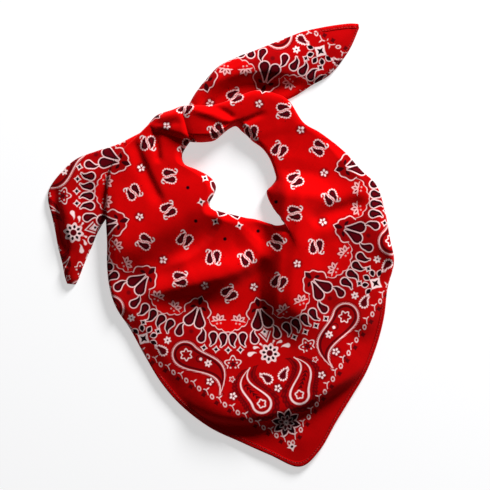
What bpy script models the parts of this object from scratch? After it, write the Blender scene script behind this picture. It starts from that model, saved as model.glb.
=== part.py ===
"""A square cotton bandana, folded corner to corner, tied in a half knot and laid down.

It lies on a flat surface with the point of the triangle towards -Y and the knot towards +Y.
Millimetres are used in the tables below, and metres in the meshes.

The folded cloth runs as one band round the neck opening: up the left arm into the knot, down across
the front, and up the right arm, which rolls over the top of the opening. The rolled end passes over
the left arm and wraps it, which is the knot, and comes out under it as the left tail. The left arm
goes on under the roll and comes out as the right tail.

Every stretch is a loft: a table gives its sections, each from a point on the side of the neck opening
to a point on the far side, with the heights of the cloth between them. Folds are added to those
heights along short curves.
"""

import math
from collections import namedtuple

import bmesh
import bpy

MM = 0.001

# Driving dimensions, in millimetres
WALL = 2.0              # thickness of the top layer, with its loft and small puckers
BACK_LAYER = 1.4        # thickness of the layer that lies on the surface
SEAM = 0.3              # gap between neighbouring stretches
THINNEST = 2.0          # least thickness of a roll, a wrap or a folded tail
CLEAR = 0.5             # least gap between a layer and the one that lies on it
INNER_ROUND = 10.0      # how far the fold at the neck takes to rise to its full height
OUTER_ROUND = 12.0      # the same at the far side
BACK_INSET = 4.0        # how far the back layer stays inside the top one
TAIL_TUCK = 20.0        # how far the left arm's back layer stays clear of the tail that runs under it
ROLL_LIFT = 8.7         # height of the roll's underside where it lies on the right tail

# A section of a stretch: its two ends, then heights of the top of the cloth at its crown, at the
# neck side and at the far side, and the width of the flat strip along the far side.
Section = namedtuple("Section", "inner_x inner_y outer_x outer_y crown inner_edge outer_edge strip")

# The folded cloth, from the knot down the left arm, across the front and up the right arm
BAND = [
    Section(-37, 124, -90, 140, 11.0, 6.0, 9.5, 0),     # 0  mouth of the knot
    Section(-46, 111, -103, 129, 12.5, 5.0, 10.0, 0),
    Section(-44, 98, -118, 115, 13.0, 5.0, 10.5, 0),
    Section(-31, 92, -131, 96, 13.0, 5.0, 10.5, 0),
    Section(-19, 86, -136, 74, 13.0, 5.0, 10.5, 0),
    Section(-10, 79, -138, 51, 13.0, 5.0, 10.5, 0),
    Section(-6, 70, -138, 28, 12.5, 5.0, 10.5, 0),      # 6  lapel over the neck edge
    Section(-9, 60, -137, 3, 11.5, 5.0, 10.0, 0),       # 7
    Section(-14, 51, -137, -25, 11.5, 4.6, 9.0, 0),     # 8  notch under the lapel
    Section(-11, 44, -134, -51, 11.5, 4.6, 8.4, 0),
    Section(-2, 41, -126, -75, 11.5, 4.6, 7.8, 0),
    Section(6, 39, -109, -101, 11.5, 4.6, 7.2, 0),
    Section(14, 37, -92, -132, 11.5, 4.6, 6.6, 0),
    Section(23, 35, -71, -166, 11.5, 4.6, 6.2, 0),
    Section(31, 33, -46, -194, 11.0, 4.6, 5.8, 0),
    Section(39, 32, -13, -219, 10.0, 4.6, 5.4, 0),
    Section(47, 30, 23, -236, 9.0, 4.6, 5.0, 0),
    Section(53, 28, 59, -252, 8.0, 4.6, 4.8, 0),
    Section(60, 26, 94, -266, 8.0, 4.6, 4.6, 0),        # 18 point of the triangle
    Section(67, 24, 118, -247, 8.0, 4.6, 4.6, 0),
    Section(76, 26, 139, -211, 9.0, 4.6, 4.8, 0),
    Section(75, 33, 158, -180, 10.0, 4.6, 5.0, 0),
    Section(68, 41, 175, -151, 10.5, 4.6, 5.2, 0),
    Section(61, 48, 188, -117, 11.0, 4.6, 5.4, 0),
    Section(56, 58, 196, -85, 11.0, 4.6, 5.8, 0),
    Section(55, 66, 200, -52, 11.0, 4.6, 7.0, 0),        # 25 notch under the right arm
    Section(61, 72, 208, -20, 11.0, 4.6, 8.0, 0),
    Section(66, 80, 203, 9, 11.0, 4.8, 7.4, 0),
    Section(64, 90, 197, 42, 11.0, 5.0, 7.0, 0),
    Section(60, 101, 187, 72, 11.0, 5.0, 6.8, 0),
    Section(55, 110, 168, 91, 11.0, 5.0, 6.8, 0),
    Section(48, 118, 147, 114, 10.5, 5.0, 7.0, 0),
    Section(38, 125, 120, 135, 11.5, 5.0, 7.8, 0),
    Section(31, 132, 99, 148, 13.0, 5.0, 9.4, 0),
    Section(25, 137, 82, 173, 15.0, 5.0, 11.6, 0),      # 34 seam with the roll
]
LEFT_ARM_ENDS, RIGHT_ARM_STARTS, ROLL_SEAM = 7, 25, 34

# The right arm's end, rolled over the top of the neck opening
ROLL = [
    Section(25, 137, 82, 173, 15.0, 5.0, 11.6, 0),
    Section(18, 143, 65, 182, 17.5, 4.6, 11.6, 0),
    Section(10, 140, 44, 186, 20.0, 4.2, 11.6, 0),
    Section(1, 133, 26, 181, 22.0, 4.0, 11.6, 0),
    Section(-8, 126, 7, 173, 23.0, 4.0, 11.6, 0),
    Section(-19, 124, -13, 168, 23.0, 4.4, 11.8, 0),
    Section(-31, 124, -41, 168, 20.0, 5.4, 12.0, 0),
]

# The turn of the knot, over the end of the left arm
WRAP = [
    Section(-31, 124, -41, 168, 20.0, 6.0, 5.0, 0),
    Section(-38, 124.65, -49, 167, 25.5, 13.0, 4.0, 0),
    Section(-49, 127.9, -59, 163, 27.0, 16.0, 3.6, 0),
    Section(-60, 131.2, -69, 160, 27.0, 16.5, 3.6, 0),
    Section(-70, 134.3, -78, 156, 25.0, 16.0, 4.0, 0),
    Section(-80, 137.3, -84, 150, 20.0, 14.0, 5.0, 0),
    Section(-89, 140.1, -89, 143, 10.0, 9.0, 8.0, 0),
]

# The left tail, from under the left arm to its tip
LEFT_TAIL = [
    Section(-90, 125, -94, 137, 5.5, 3.0, 3.0, 0),
    Section(-102, 112, -104, 132, 6.4, 3.0, 3.0, 0),
    Section(-114, 95, -126, 121, 7.2, 3.0, 4.0, 0),
    Section(-122, 76, -148, 114, 7.2, 3.0, 5.0, 0),
    Section(-127, 54, -174, 104, 7.2, 3.0, 5.0, 0),
    Section(-131, 38, -193, 87, 7.4, 3.0, 5.0, 0),
    Section(-138, 32, -206, 69, 9.0, 3.0, 5.5, 0),
    Section(-144, 23, -208, 54, 10.0, 3.0, 6.0, 0),
    Section(-150, 12, -203, 34, 10.0, 3.0, 6.0, 0),
    Section(-155, -1, -199, 15, 10.0, 3.0, 5.5, 0),
    Section(-161, -14, -196, -2, 9.5, 3.0, 5.0, 0),
    Section(-167, -29, -191, -21, 8.5, 3.0, 4.0, 0),
    Section(-171, -40, -188, -37, 7.0, 2.6, 3.0, 0),
    Section(-175, -47, -185, -46, 4.5, 2.2, 2.2, 0),
]

# The right tail, from under the roll to its tip
RIGHT_TAIL = [
    Section(-27, 152, -38, 170, 6.0, 2.4, 3.0, 0),
    Section(-11, 154, -31, 183, 7.6, 2.4, 4.0, 0),
    Section(8, 159, -16, 202, 8.0, 2.4, 4.6, 0),
    Section(28, 165, -2, 216, 8.0, 2.4, 4.8, 0),
    Section(47, 170, 20, 227, 8.0, 2.4, 4.8, 0),
    Section(66, 170, 42, 235, 8.0, 2.4, 4.8, 0),
    Section(82, 176, 64, 244, 8.0, 2.6, 4.6, 0),
    Section(95, 183, 82, 251, 8.5, 3.0, 4.2, 0),
    Section(110, 193, 98, 257, 9.0, 3.4, 4.0, 0),
    Section(125, 201, 115, 261, 9.0, 3.6, 3.8, 0),
    Section(136, 210, 131, 264, 8.5, 3.2, 3.4, 0),
    Section(147, 224, 145, 266, 7.5, 3.0, 3.0, 0),
    Section(157, 240, 156, 267, 6.0, 2.6, 2.4, 0),
    Section(166, 261, 165, 266.5, 3.4, 2.2, 2.2, 0),
]

# A fold: a curve through three points, its height (below 0 for a valley), and its half-width to the
# left and to the right of the curve.
Fold = namedtuple("Fold", "x0 y0 x1 y1 x2 y2 height left right")

BAND_FOLDS = [
    Fold(2, 74, -68, 10, -140, -22, 3.5, 15, 34),       # swag of the left arm
    Fold(8, 34, -28, -4, -124, -38, -9.0, 15, 20),      # valley under it
    Fold(-9, 54, -18, 20, -44, -20, -7.0, 14, 13),      # hollow beside the lapel
    Fold(62, 12, 8, -14, -98, -61, 9.0, 13, 18),        # long fold across the front
    Fold(40, -36, -12, -56, -112, -66, -8.0, 22, 12),   # valley under that
    Fold(86, 76, 77, 0, 58, -86, 12.0, 34, 20),         # upright fold below the right arm
    Fold(92, 84, 96, 24, 86, -44, 3.5, 14, 8),          # its second crest
    Fold(60, 6, 44, -30, 12, -68, -8.0, 13, 22),        # deep valley beside it
    Fold(-104, 122, -91, 86, -73, 52, -5.5, 8, 8),      # crease down the left arm
    Fold(96, 70, 137, 57, 182, 70, 2.4, 10, 12),        # cross folds of the right arm
    Fold(104, 26, 137, 41, 178, 53, -3.4, 9, 11),
    Fold(110, 8, 149, 27, 184, 37, 2.8, 12, 10),
    Fold(208, -18, 192, -58, 164, -106, 6.5, 13, 8),    # turned-up edge at the right
    Fold(200, -12, 176, -56, 142, -106, -7.5, 8, 24),
    Fold(-76, -146, 49, -200, 176, -112, 6.5, 46, 12),  # sag above the hem
    Fold(-76, -164, 49, -217, 182, -128, -4.0, 9, 24),
]
ROLL_FOLDS = [
    Fold(-10, 168, 5, 160, 17, 150, -4.5, 4, 6),        # twist lines of the roll
    Fold(9, 150, 28, 148, 50, 161, -7.0, 5, 4),
    Fold(-30, 152, -12, 148, 4, 140, 2.5, 9, 9),
]
WRAP_FOLDS = [
    Fold(-50, 166, -42, 151, -37, 128, -7.0, 6, 6),     # creases round the knot
    Fold(-58, 158, -66, 148, -72, 136, 2.0, 6, 6),
]
LEFT_TAIL_FOLDS = [
    Fold(-140, 98, -182, 62, -182, -10, 4.0, 16, 12),
    Fold(-200, 76, -197, 34, -184, -20, -3.0, 6, 7),
]
RIGHT_TAIL_FOLDS = [
    Fold(-34, 168, -5, 204, 58, 220, 9.0, 18, 7),       # edge folded over the tail
    Fold(-18, 172, 12, 197, 74, 202, -6.0, 6, 20),      # hollow under it
    Fold(40, 214, 98, 230, 160, 256, 3.0, 16, 16),      # ridge along the tail
]

EDGE_STEPS = (0.0, 3.0, 8.0, 15.0)      # columns near each edge, where the cloth rounds over
EDGE_SPAN = 75.0                        # a shorter section shares these steps out in proportion
FOLD_PARTS = 12                         # straight parts that a fold's curve is measured on
SETTLE = 3.0                            # height above its floor below which the cloth flattens out
FOLD_FADE = 0.2                         # share of a fold over which each of its ends dies away


def along(sections, place):
    """The section at a place along a table, on a smooth curve through its rows."""
    row = min(int(place), len(sections) - 2)
    part = place - row
    before = sections[max(row - 1, 0)]
    after = sections[min(row + 2, len(sections) - 1)]
    values = []
    for a, b, c, d in zip(before, sections[row], sections[row + 1], after):
        square = (2 * a - 5 * b + 4 * c - d) * part ** 2
        cube = (3 * b - a - 3 * c + d) * part ** 3
        values.append(0.5 * (2 * b + (c - a) * part + square + cube))
    return Section(*values)


def length_of(section):
    return math.hypot(section.outer_x - section.inner_x, section.outer_y - section.inner_y)


def spot(section, distance):
    """The plan position at a distance from the neck side of a section."""
    share = distance / length_of(section)
    x = section.inner_x + (section.outer_x - section.inner_x) * share
    y = section.inner_y + (section.outer_y - section.inner_y) * share
    return x, y


def rise(distance, width):
    """From 0 at an edge to 1 where the cloth has rounded up to its full height."""
    return math.sin(math.pi / 2 * min(max(distance / width, 0.0), 1.0))


def smooth(share):
    """An even step from 0 to 1."""
    share = min(max(share, 0.0), 1.0)
    return share * share * (3 - 2 * share)


def fold_curve(fold):
    """Points along a fold: a parabola through its three points."""
    points = []
    for step in range(FOLD_PARTS + 1):
        t = step / FOLD_PARTS
        first, middle, last = (1 - t) * (1 - 2 * t), 4 * t * (1 - t), t * (2 * t - 1)
        points.append((
            first * fold.x0 + middle * fold.x1 + last * fold.x2,
            first * fold.y0 + middle * fold.y1 + last * fold.y2,
        ))
    return points


def fold_height(fold, curve, x, y):
    """What a fold adds to the height of the cloth at a plan position."""
    nearest, side, travel = math.inf, 1.0, 0.0
    for step in range(FOLD_PARTS):
        (ax, ay), (bx, by) = curve[step], curve[step + 1]
        dx, dy = bx - ax, by - ay
        share = min(max(((x - ax) * dx + (y - ay) * dy) / (dx * dx + dy * dy), 0.0), 1.0)
        off_x, off_y = x - ax - dx * share, y - ay - dy * share
        distance = math.hypot(off_x, off_y)
        if distance < nearest:
            nearest, travel = distance, (step + share) / FOLD_PARTS
            side = dx * off_y - dy * off_x
    width = fold.left if side > 0 else fold.right
    fade = smooth(travel / FOLD_FADE) * smooth((1 - travel) / FOLD_FADE)
    return fold.height * fade * math.exp(-(nearest / width) ** 2)


def top_of(sections, folds, floor):
    """A function that gives the height of the cloth's top at a place and distance along a stretch.

    Near the floor the folds flatten out, so that no valley goes through it.
    """
    curves = [(fold, fold_curve(fold)) for fold in folds]

    def height(place, distance):
        section = along(sections, place)
        length = length_of(section)
        inner = min(INNER_ROUND, length / 2)
        outer = min(OUTER_ROUND, length / 2)
        fall_in = (section.crown - section.inner_edge) * (1 - rise(distance, inner))
        fall_out = (section.crown - section.outer_edge) * (1 - rise(length - distance - section.strip, outer))
        level = section.crown - fall_in - fall_out
        x, y = spot(section, distance)
        edge_fade = min(1.0, distance / inner, (length - distance) / outer)
        folded = sum(fold_height(fold, curve, x, y) for fold, curve in curves)
        above = level + folded * (0.35 + 0.65 * edge_fade) - floor
        return floor + (above if above > SETTLE else SETTLE * math.exp(above / SETTLE - 1))

    return height


def columns_of(length, count):
    """Distances of the columns across a section, closer together near its two edges."""
    if count < 2 * len(EDGE_STEPS):
        return [length * step / count for step in range(count + 1)]
    squeeze = min(1.0, length / EDGE_SPAN)
    near = [step * squeeze for step in EDGE_STEPS]
    middle = count - 2 * len(near) + 2
    inside = length - 2 * near[-1]
    between = [near[-1] + inside * step / middle for step in range(1, middle)]
    return near + between + [length - distance for distance in reversed(near)]


def material_of(name, colour, roughness):
    material = bpy.data.materials.new(name)
    material.use_nodes = True
    shader = material.node_tree.nodes["Principled BSDF"]
    shader.inputs["Base Color"].default_value = (*colour, 1.0)
    shader.inputs["Roughness"].default_value = roughness
    shader.inputs["Metallic"].default_value = 0.0
    return material


def split_along_folds(mesh, spots, height):
    """Cuts each quad of a surface along the diagonal that lies nearer to the height in its middle."""
    for face in [face for face in mesh.faces if all(corner in spots for corner in face.verts)]:
        corners = list(face.verts)
        place = sum(spots[corner][0] for corner in corners) / 4
        distance = sum(spots[corner][1] for corner in corners) / 4
        middle = height(place, distance) * MM
        first = abs((corners[0].co.z + corners[2].co.z) / 2 - middle)
        second = abs((corners[1].co.z + corners[3].co.z) / 2 - middle)
        start, end = (0, 2) if first <= second else (1, 3)
        bmesh.utils.face_split(face, corners[start], corners[end])


def stretch(name, sections, span, grid, top, bottom, insets=(0.0, 0.0)):
    """A closed solid for part of a table: a grid laid over it, with a top and an underside.

    span is the first and last place, grid the numbers of rows and columns, and insets how far the
    solid stays inside the sections' two ends. top and bottom give a height for a place and distance,
    or are one height for a flat side, which becomes one face.
    """
    rows, columns = grid
    mesh = bmesh.new()
    bmesh.ops.create_grid(mesh, x_segments=rows, y_segments=columns, size=0.5)
    upper = list(mesh.verts)
    made = bmesh.ops.extrude_face_region(mesh, geom=list(mesh.faces))
    lower = [item for item in made["geom"] if isinstance(item, bmesh.types.BMVert)]
    for vertices, height in ((upper, top), (lower, bottom)):
        spots = {}
        for vertex in vertices:
            row = round((vertex.co.x + 0.5) * rows)
            column = round((vertex.co.y + 0.5) * columns)
            place = span[0] + (span[1] - span[0]) * row / rows
            section = along(sections, place)
            inside = length_of(section) - sum(insets)
            distance = insets[0] + columns_of(inside, columns)[column]
            x, y = spot(section, distance)
            if row in (0, rows):
                ahead = 0.02 if row == 0 else -0.02
                next_x, next_y = spot(along(sections, place + ahead), distance)
                step = math.hypot(next_x - x, next_y - y)
                x += (next_x - x) / step * SEAM * 0.6
                y += (next_y - y) / step * SEAM * 0.6
            z = height(place, distance) if callable(height) else height
            vertex.co = (x * MM, y * MM, z * MM)
            spots[vertex] = (place, distance)
        if callable(height):
            split_along_folds(mesh, spots, height)
        else:
            flat = [face for face in mesh.faces if all(corner in spots for corner in face.verts)]
            bmesh.ops.dissolve_faces(mesh, faces=flat)
    bmesh.ops.recalc_face_normals(mesh, faces=mesh.faces)
    data = bpy.data.meshes.new(name)
    mesh.to_mesh(data)
    mesh.free()
    solid = bpy.data.objects.new(name, data)
    return solid


def wall_under(top):
    """The underside of a layer of cloth."""
    return lambda place, distance: top(place, distance) - WALL


def roll_underside(place, distance):
    """On the surface beside the neck opening, and lifted where the roll lies on the right tail."""
    share = distance / length_of(along(ROLL, place))
    return ROLL_LIFT * smooth((share - 0.34) / 0.22)


def make_band():
    """The two layers of the folded cloth round the neck opening, in three stretches."""
    top = top_of(BAND, BAND_FOLDS, floor=BACK_LAYER + CLEAR + WALL)
    front = [
        ("left_arm", (0, LEFT_ARM_ENDS), (18, 16)),
        ("front_panel", (LEFT_ARM_ENDS, RIGHT_ARM_STARTS), (66, 28)),
        ("right_arm", (RIGHT_ARM_STARTS, ROLL_SEAM), (18, 14)),
    ]
    behind = [
        ("left_arm_back", (0.3, LEFT_ARM_ENDS), (14, 2), TAIL_TUCK),
        ("back_panel", (LEFT_ARM_ENDS, RIGHT_ARM_STARTS), (44, 2), BACK_INSET),
        ("right_arm_back", (RIGHT_ARM_STARTS, ROLL_SEAM - 0.3), (16, 2), BACK_INSET),
    ]
    walls = [stretch(name, BAND, span, grid, top, wall_under(top)) for name, span, grid in front]
    sheets = [
        stretch(name, BAND, span, grid, BACK_LAYER, 0.0, (BACK_INSET, outer_inset))
        for name, span, grid, outer_inset in behind
    ]
    return walls, sheets


def make_knot():
    """The roll and the turn of the knot. Their hidden layers share one solid each."""
    roll_top = top_of(ROLL, ROLL_FOLDS, floor=THINNEST)
    wrap_top = top_of(WRAP, WRAP_FOLDS, floor=THINNEST)
    roll = stretch("roll", ROLL, (0, len(ROLL) - 1), (20, 13), roll_top, roll_underside)
    wrap = stretch("knot_wrap", WRAP, (0, len(WRAP) - 1), (16, 12), wrap_top, 0.0)
    return [roll, wrap]


def make_tails():
    """The two ends of the cloth, each folded over itself and resting flat."""
    left_top = top_of(LEFT_TAIL, LEFT_TAIL_FOLDS, floor=THINNEST)
    right_top = top_of(RIGHT_TAIL, RIGHT_TAIL_FOLDS, floor=THINNEST)
    left = stretch("left_tail", LEFT_TAIL, (0, len(LEFT_TAIL) - 1), (26, 12), left_top, 0.0)
    right = stretch("right_tail", RIGHT_TAIL, (0, len(RIGHT_TAIL) - 1), (28, 13), right_top, 0.0)
    return [left, right]


def main():
    for item in list(bpy.data.objects):
        bpy.data.objects.remove(item)
    collection = bpy.data.collections.new("bandana")
    bpy.context.scene.collection.children.link(collection)
    face = material_of("printed cotton, face", (0.62, 0.01, 0.015), 0.85)
    reverse = material_of("printed cotton, back", (0.50, 0.03, 0.04), 0.9)
    walls, sheets = make_band()
    for solid in walls + make_knot() + make_tails():
        solid.data.materials.append(face)
        collection.objects.link(solid)
    for solid in sheets:
        solid.data.materials.append(reverse)
        collection.objects.link(solid)


main()
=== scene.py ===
"""Dresses the tied bandana: its cloth, hems, stitches, print and weave, laid on a pale floor.

The cloth is a square of printed cotton, folded corner to corner, tied in a half knot and laid down
with its point towards -Y. Plan sizes in the tables are millimetres, and meshes are metres.
"""

from __future__ import annotations

import logging
import math
from collections.abc import Callable, Mapping, Sequence
from dataclasses import dataclass, field
from enum import Enum
from typing import NamedTuple

import bmesh
import bpy
from mathutils import Matrix, Vector, noise

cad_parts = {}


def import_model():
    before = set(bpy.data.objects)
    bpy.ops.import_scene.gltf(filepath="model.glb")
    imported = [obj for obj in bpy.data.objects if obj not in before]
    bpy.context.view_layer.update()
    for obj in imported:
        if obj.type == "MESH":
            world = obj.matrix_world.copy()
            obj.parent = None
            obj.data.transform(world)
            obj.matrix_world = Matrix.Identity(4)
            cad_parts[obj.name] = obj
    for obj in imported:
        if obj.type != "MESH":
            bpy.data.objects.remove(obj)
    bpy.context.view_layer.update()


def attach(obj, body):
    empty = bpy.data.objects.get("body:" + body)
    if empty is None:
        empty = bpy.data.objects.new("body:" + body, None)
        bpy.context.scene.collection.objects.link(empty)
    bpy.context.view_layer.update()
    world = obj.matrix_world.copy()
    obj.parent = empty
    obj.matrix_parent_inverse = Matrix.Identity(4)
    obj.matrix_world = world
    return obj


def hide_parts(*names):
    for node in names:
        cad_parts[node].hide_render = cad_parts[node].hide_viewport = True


LOG = logging.getLogger("bandana")
MM = 0.001
BODY = "root"
CLOTH_MAP = "flat_cloth"
HEM_MAP = "hem_distance"

# How the cloth lies. Lengths are millimetres, and places are rows of a table.
FLOOR_GAP = 0.05  # what lies on the floor is this far above it
FOLD_PARTS = 12  # straight parts of a fold's curve
FOLD_FADE = 0.2  # share of the curve over which a fold comes and goes
FOLD_REACH = 2.6  # half-widths past which a fold adds nothing
EDGE_SHARE = 0.35  # how much of a fold is left at the very edge of the cloth
INNER_ROUND = 10.0  # how far in from the neck side the top takes to level out
OUTER_ROUND = 12.0  # the same from the far side
HEM_LEVEL = 7.6  # a far side lower than this runs out in a gentle slope
HEM_SLOPE = 12.0  # how much longer the slope is for each millimetre lower
SETTLE = 3.0  # the height over the floor level at which valleys begin to flatten
NO_HEM = 60.0  # stands for "far from any hem"
PINCH_LIFT = 0.9  # how far the gathered cloth at the notch is lifted
PINCH_BEGINS, PINCH_ENDS = (18.5, 19.5), (23.5, 25.0)  # rows of the band
ROUND_LIMIT, REACH_LIMIT = 0.4, 0.46  # shares of the width that a side may take up
TUCK_SHARES = (1.0, 0.5, 0.12)  # points of the cloth that is turned under
BEAD_STEPS, ROUND_STEPS = 3, 5  # points of the turn and of the round over it
LEAST_BEAD = 0.3  # the smallest radius of a turn
LEAST_COLUMNS = 8  # of the mesh, between the turned sides
RIPPLES = ((31.0, 1.7, 1.0), (12.0, 6.3, 0.35))  # wavelength, layer and share of each


class Slot(Enum):
    """The record's material slots."""

    FACE = "printed_cotton"
    REVERSE = "printed_cotton_reverse"


class Side(Enum):
    """The two long sides of a stretch of cloth."""

    NECK = "neck"
    FAR = "far"


class Socket(Enum):
    """What goes through a socket of a node group."""

    VECTOR = "NodeSocketVector"
    COLOR = "NodeSocketColor"
    NUMBER = "NodeSocketFloat"


class Section(NamedTuple):
    """A line across a stretch of cloth, from the neck side to the far side, in millimetres.

    Attributes:
        inner_x: Where the neck side is.
        inner_y: Where the neck side is.
        outer_x: Where the far side is.
        outer_y: Where the far side is.
        crown: Height of the cloth between the two sides.
        inner_edge: Height at the neck side.
        outer_edge: Height at the far side.
    """

    inner_x: float
    inner_y: float
    outer_x: float
    outer_y: float
    crown: float
    inner_edge: float
    outer_edge: float


class Fold(NamedTuple):
    """A crest, or a valley below 0, along a curve through three points, in millimetres.

    Attributes:
        x0: The first point's x.
        y0: Its y.
        x1: The middle point's x.
        y1: Its y.
        x2: The last point's x.
        y2: Its y.
        height: How far the fold rises, or falls below 0.
        left: Half-width of the flank on the left of the way along the curve.
        right: Half-width of the flank on the right.
    """

    x0: float
    y0: float
    x1: float
    y1: float
    x2: float
    y2: float
    height: float
    left: float
    right: float


class Rim(NamedTuple):
    """How a stretch's side is turned under, in millimetres.

    Attributes:
        bead: Radius of the turn at the very edge.
        reach: How far the cloth goes back under itself.
        round: How far in the top takes to round up to its full height.
        foot: Height of the underside of what is turned under.
    """

    bead: float
    reach: float
    round: float
    foot: float = FLOOR_GAP

    def towards(self, other: Rim, share: float) -> Rim:
        """A rim between this one and another."""
        return Rim(*(mine + (theirs - mine) * share for mine, theirs in zip(self, other)))


BAND = (
    Section(-34, 129, -86, 146, 12.0, 7.0, 11.0),
    Section(-46, 111, -103, 129, 12.5, 7.0, 11.5),
    Section(-44, 98, -118, 115, 13.0, 8.0, 12.0),
    Section(-31, 92, -131, 96, 13.0, 8.0, 12.0),
    Section(-19, 86, -136, 74, 13.0, 8.0, 12.0),
    Section(-10, 79, -138, 51, 13.0, 8.0, 12.0),
    Section(-6, 70, -138, 28, 12.5, 8.0, 11.6),
    Section(-9, 60, -137, 3, 12.0, 8.0, 10.6),
    Section(-14, 51, -137, -25, 11.5, 8.5, 9.6),
    Section(-11, 44, -134, -51, 11.0, 9.0, 8.6),
    Section(-2, 41, -126, -75, 10.5, 9.5, 7.8),
    Section(6, 39, -109, -101, 10.5, 9.8, 7.0),
    Section(14, 37, -92, -132, 10.5, 10.0, 6.4),
    Section(23, 35, -71, -166, 10.5, 10.0, 6.0),
    Section(31, 33, -46, -194, 10.5, 10.0, 5.6),
    Section(39, 32, -13, -219, 10.0, 10.0, 5.2),
    Section(47, 30, 23, -236, 9.5, 10.0, 4.8),
    Section(53, 28, 59, -252, 9.0, 10.0, 4.6),
    Section(60, 26, 94, -266, 9.0, 10.0, 4.6),
    Section(67, 24, 118, -247, 9.5, 10.0, 4.8),
    Section(76, 26, 139, -211, 10.0, 10.0, 5.0),
    Section(75, 33, 158, -180, 10.5, 9.5, 5.2),
    Section(68, 41, 175, -151, 11.0, 9.0, 5.4),
    Section(61, 48, 188, -117, 11.5, 9.0, 5.6),
    Section(56, 58, 196, -85, 11.5, 9.0, 5.8),
    Section(55, 66, 200, -52, 11.5, 10.4, 6.4),
    Section(61, 72, 208, -20, 11.5, 10.6, 7.6),
    Section(66, 80, 203, 9, 11.5, 10.6, 7.4),
    Section(64, 90, 197, 42, 11.5, 10.6, 7.0),
    Section(60, 101, 187, 72, 11.5, 10.4, 7.0),
    Section(55, 110, 168, 91, 11.5, 10.0, 7.0),
    Section(48, 118, 147, 114, 11.0, 9.4, 7.2),
    Section(38, 125, 120, 135, 11.5, 8.6, 8.0),
    Section(31, 132, 99, 148, 13.0, 7.0, 9.6),
    Section(25, 137, 82, 173, 14.5, 5.4, 12.0),
    Section(18, 143, 65, 182, 16.5, 5.0, 13.0),
    Section(10, 140, 44, 186, 18.5, 5.0, 14.0),
    Section(1, 133, 26, 181, 20.0, 5.0, 15.0),
    Section(-8, 126, 7, 173, 21.0, 5.0, 15.0),
    Section(-19, 124, -13, 168, 21.0, 5.0, 15.0),
    Section(-31, 124, -41, 168, 19.0, 5.4, 13.0),
    Section(-40, 126, -51, 164, 16.0, 6.0, 10.0),
)

WRAP = (
    Section(-31, 124, -41, 168, 17.0, 6.0, 9.0),
    Section(-38, 124.65, -49, 167, 19.5, 13.0, 11.0),
    Section(-49, 127.9, -59, 163, 18.5, 13.5, 12.0),
    Section(-60, 131.2, -69, 160, 16.5, 13.2, 12.0),
    Section(-70, 134.3, -78, 156, 14.8, 12.8, 11.0),
    Section(-80, 137.3, -84, 150, 13.2, 12.2, 9.5),
    Section(-89, 140.1, -89, 143, 10.0, 9.5, 8.5),
)

LEFT_TAIL = (
    Section(-90, 125, -94, 137, 5.5, 3.0, 3.0),
    Section(-102, 112, -104, 132, 6.4, 3.0, 3.0),
    Section(-114, 95, -126, 121, 7.2, 3.0, 4.0),
    Section(-122, 76, -148, 114, 7.2, 3.0, 5.0),
    Section(-127, 54, -174, 104, 7.2, 3.0, 5.0),
    Section(-131, 38, -193, 87, 7.4, 3.0, 5.0),
    Section(-138, 32, -206, 69, 9.0, 3.0, 5.5),
    Section(-144, 23, -208, 54, 10.0, 3.0, 6.0),
    Section(-150, 12, -203, 34, 10.0, 3.0, 6.0),
    Section(-155, -1, -199, 15, 10.0, 3.0, 5.5),
    Section(-161, -14, -196, -2, 9.5, 3.0, 5.0),
    Section(-167, -29, -191, -21, 8.5, 3.0, 4.0),
    Section(-171, -40, -188, -37, 7.0, 2.6, 3.0),
    Section(-175, -47, -185, -46, 4.5, 2.2, 2.2),
)

RIGHT_TAIL = (
    Section(-27, 152, -38, 170, 6.0, 3.4, 5.0),
    Section(-11, 154, -31, 183, 7.6, 3.4, 6.0),
    Section(8, 159, -16, 202, 8.0, 3.4, 6.4),
    Section(28, 165, -2, 216, 8.0, 3.4, 6.4),
    Section(47, 170, 20, 227, 8.0, 3.4, 6.4),
    Section(66, 170, 42, 235, 8.0, 3.4, 6.4),
    Section(82, 176, 64, 244, 8.0, 3.6, 6.4),
    Section(95, 183, 82, 251, 8.0, 4.0, 6.2),
    Section(110, 193, 98, 257, 8.0, 4.2, 6.0),
    Section(125, 201, 115, 261, 7.6, 4.2, 5.6),
    Section(136, 210, 131, 264, 7.0, 4.0, 5.0),
    Section(147, 224, 145, 266, 6.4, 3.6, 4.4),
    Section(157, 240, 156, 267, 5.4, 3.2, 3.6),
    Section(166, 261, 165, 266.5, 3.4, 2.2, 2.2),
)

BAND_FOLDS = (
    Fold(40, 80, -50, 34, -150, -26, 7.5, 25, 40),
    Fold(46, 6, -34, -20, -136, -56, -7.5, 17, 28),
    Fold(0, 72, -7, 7, -76, -31, 8.5, 34, 9),
    Fold(63, 6, 2, -35, -118, -57, 8.5, 12, 30),
    Fold(100, -96, 34, -84, -56, -68, -5.5, 26, 20),
    Fold(84, 92, 75, -4, 66, -124, 12.0, 42, 15),
    Fold(100, 90, 91, -4, 80, -114, 3.5, 28, 10),
    Fold(54, 80, 46, -8, 34, -106, -5.5, 12, 20),
    Fold(-108, 136, -91, 92, -66, 42, -3.0, 5, 9),
    Fold(-81, 142, -77, 120, -74, 96, -2.5, 4, 5),
    Fold(96, 70, 137, 57, 182, 70, 2.0, 10, 12),
    Fold(104, 26, 137, 41, 178, 53, -2.8, 9, 11),
    Fold(110, 8, 149, 27, 184, 37, 2.2, 12, 10),
    Fold(214, -10, 192, -58, 158, -112, 5.0, 13, 8),
    Fold(206, -4, 176, -56, 136, -112, -4.5, 8, 24),
    Fold(-60, -180, 56, -203, 196, -122, 9.0, 46, 10),
    Fold(-50, -190, 56, -219, 192, -146, -4.0, 9, 24),
    Fold(-10, 168, 5, 160, 17, 150, -2.0, 3, 5),
    Fold(-2, 145, 26, 148, 56, 162, -2.4, 3, 4),
    Fold(-40, 167, -10, 155, 18, 143, 2.4, 6, 5),
)
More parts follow.
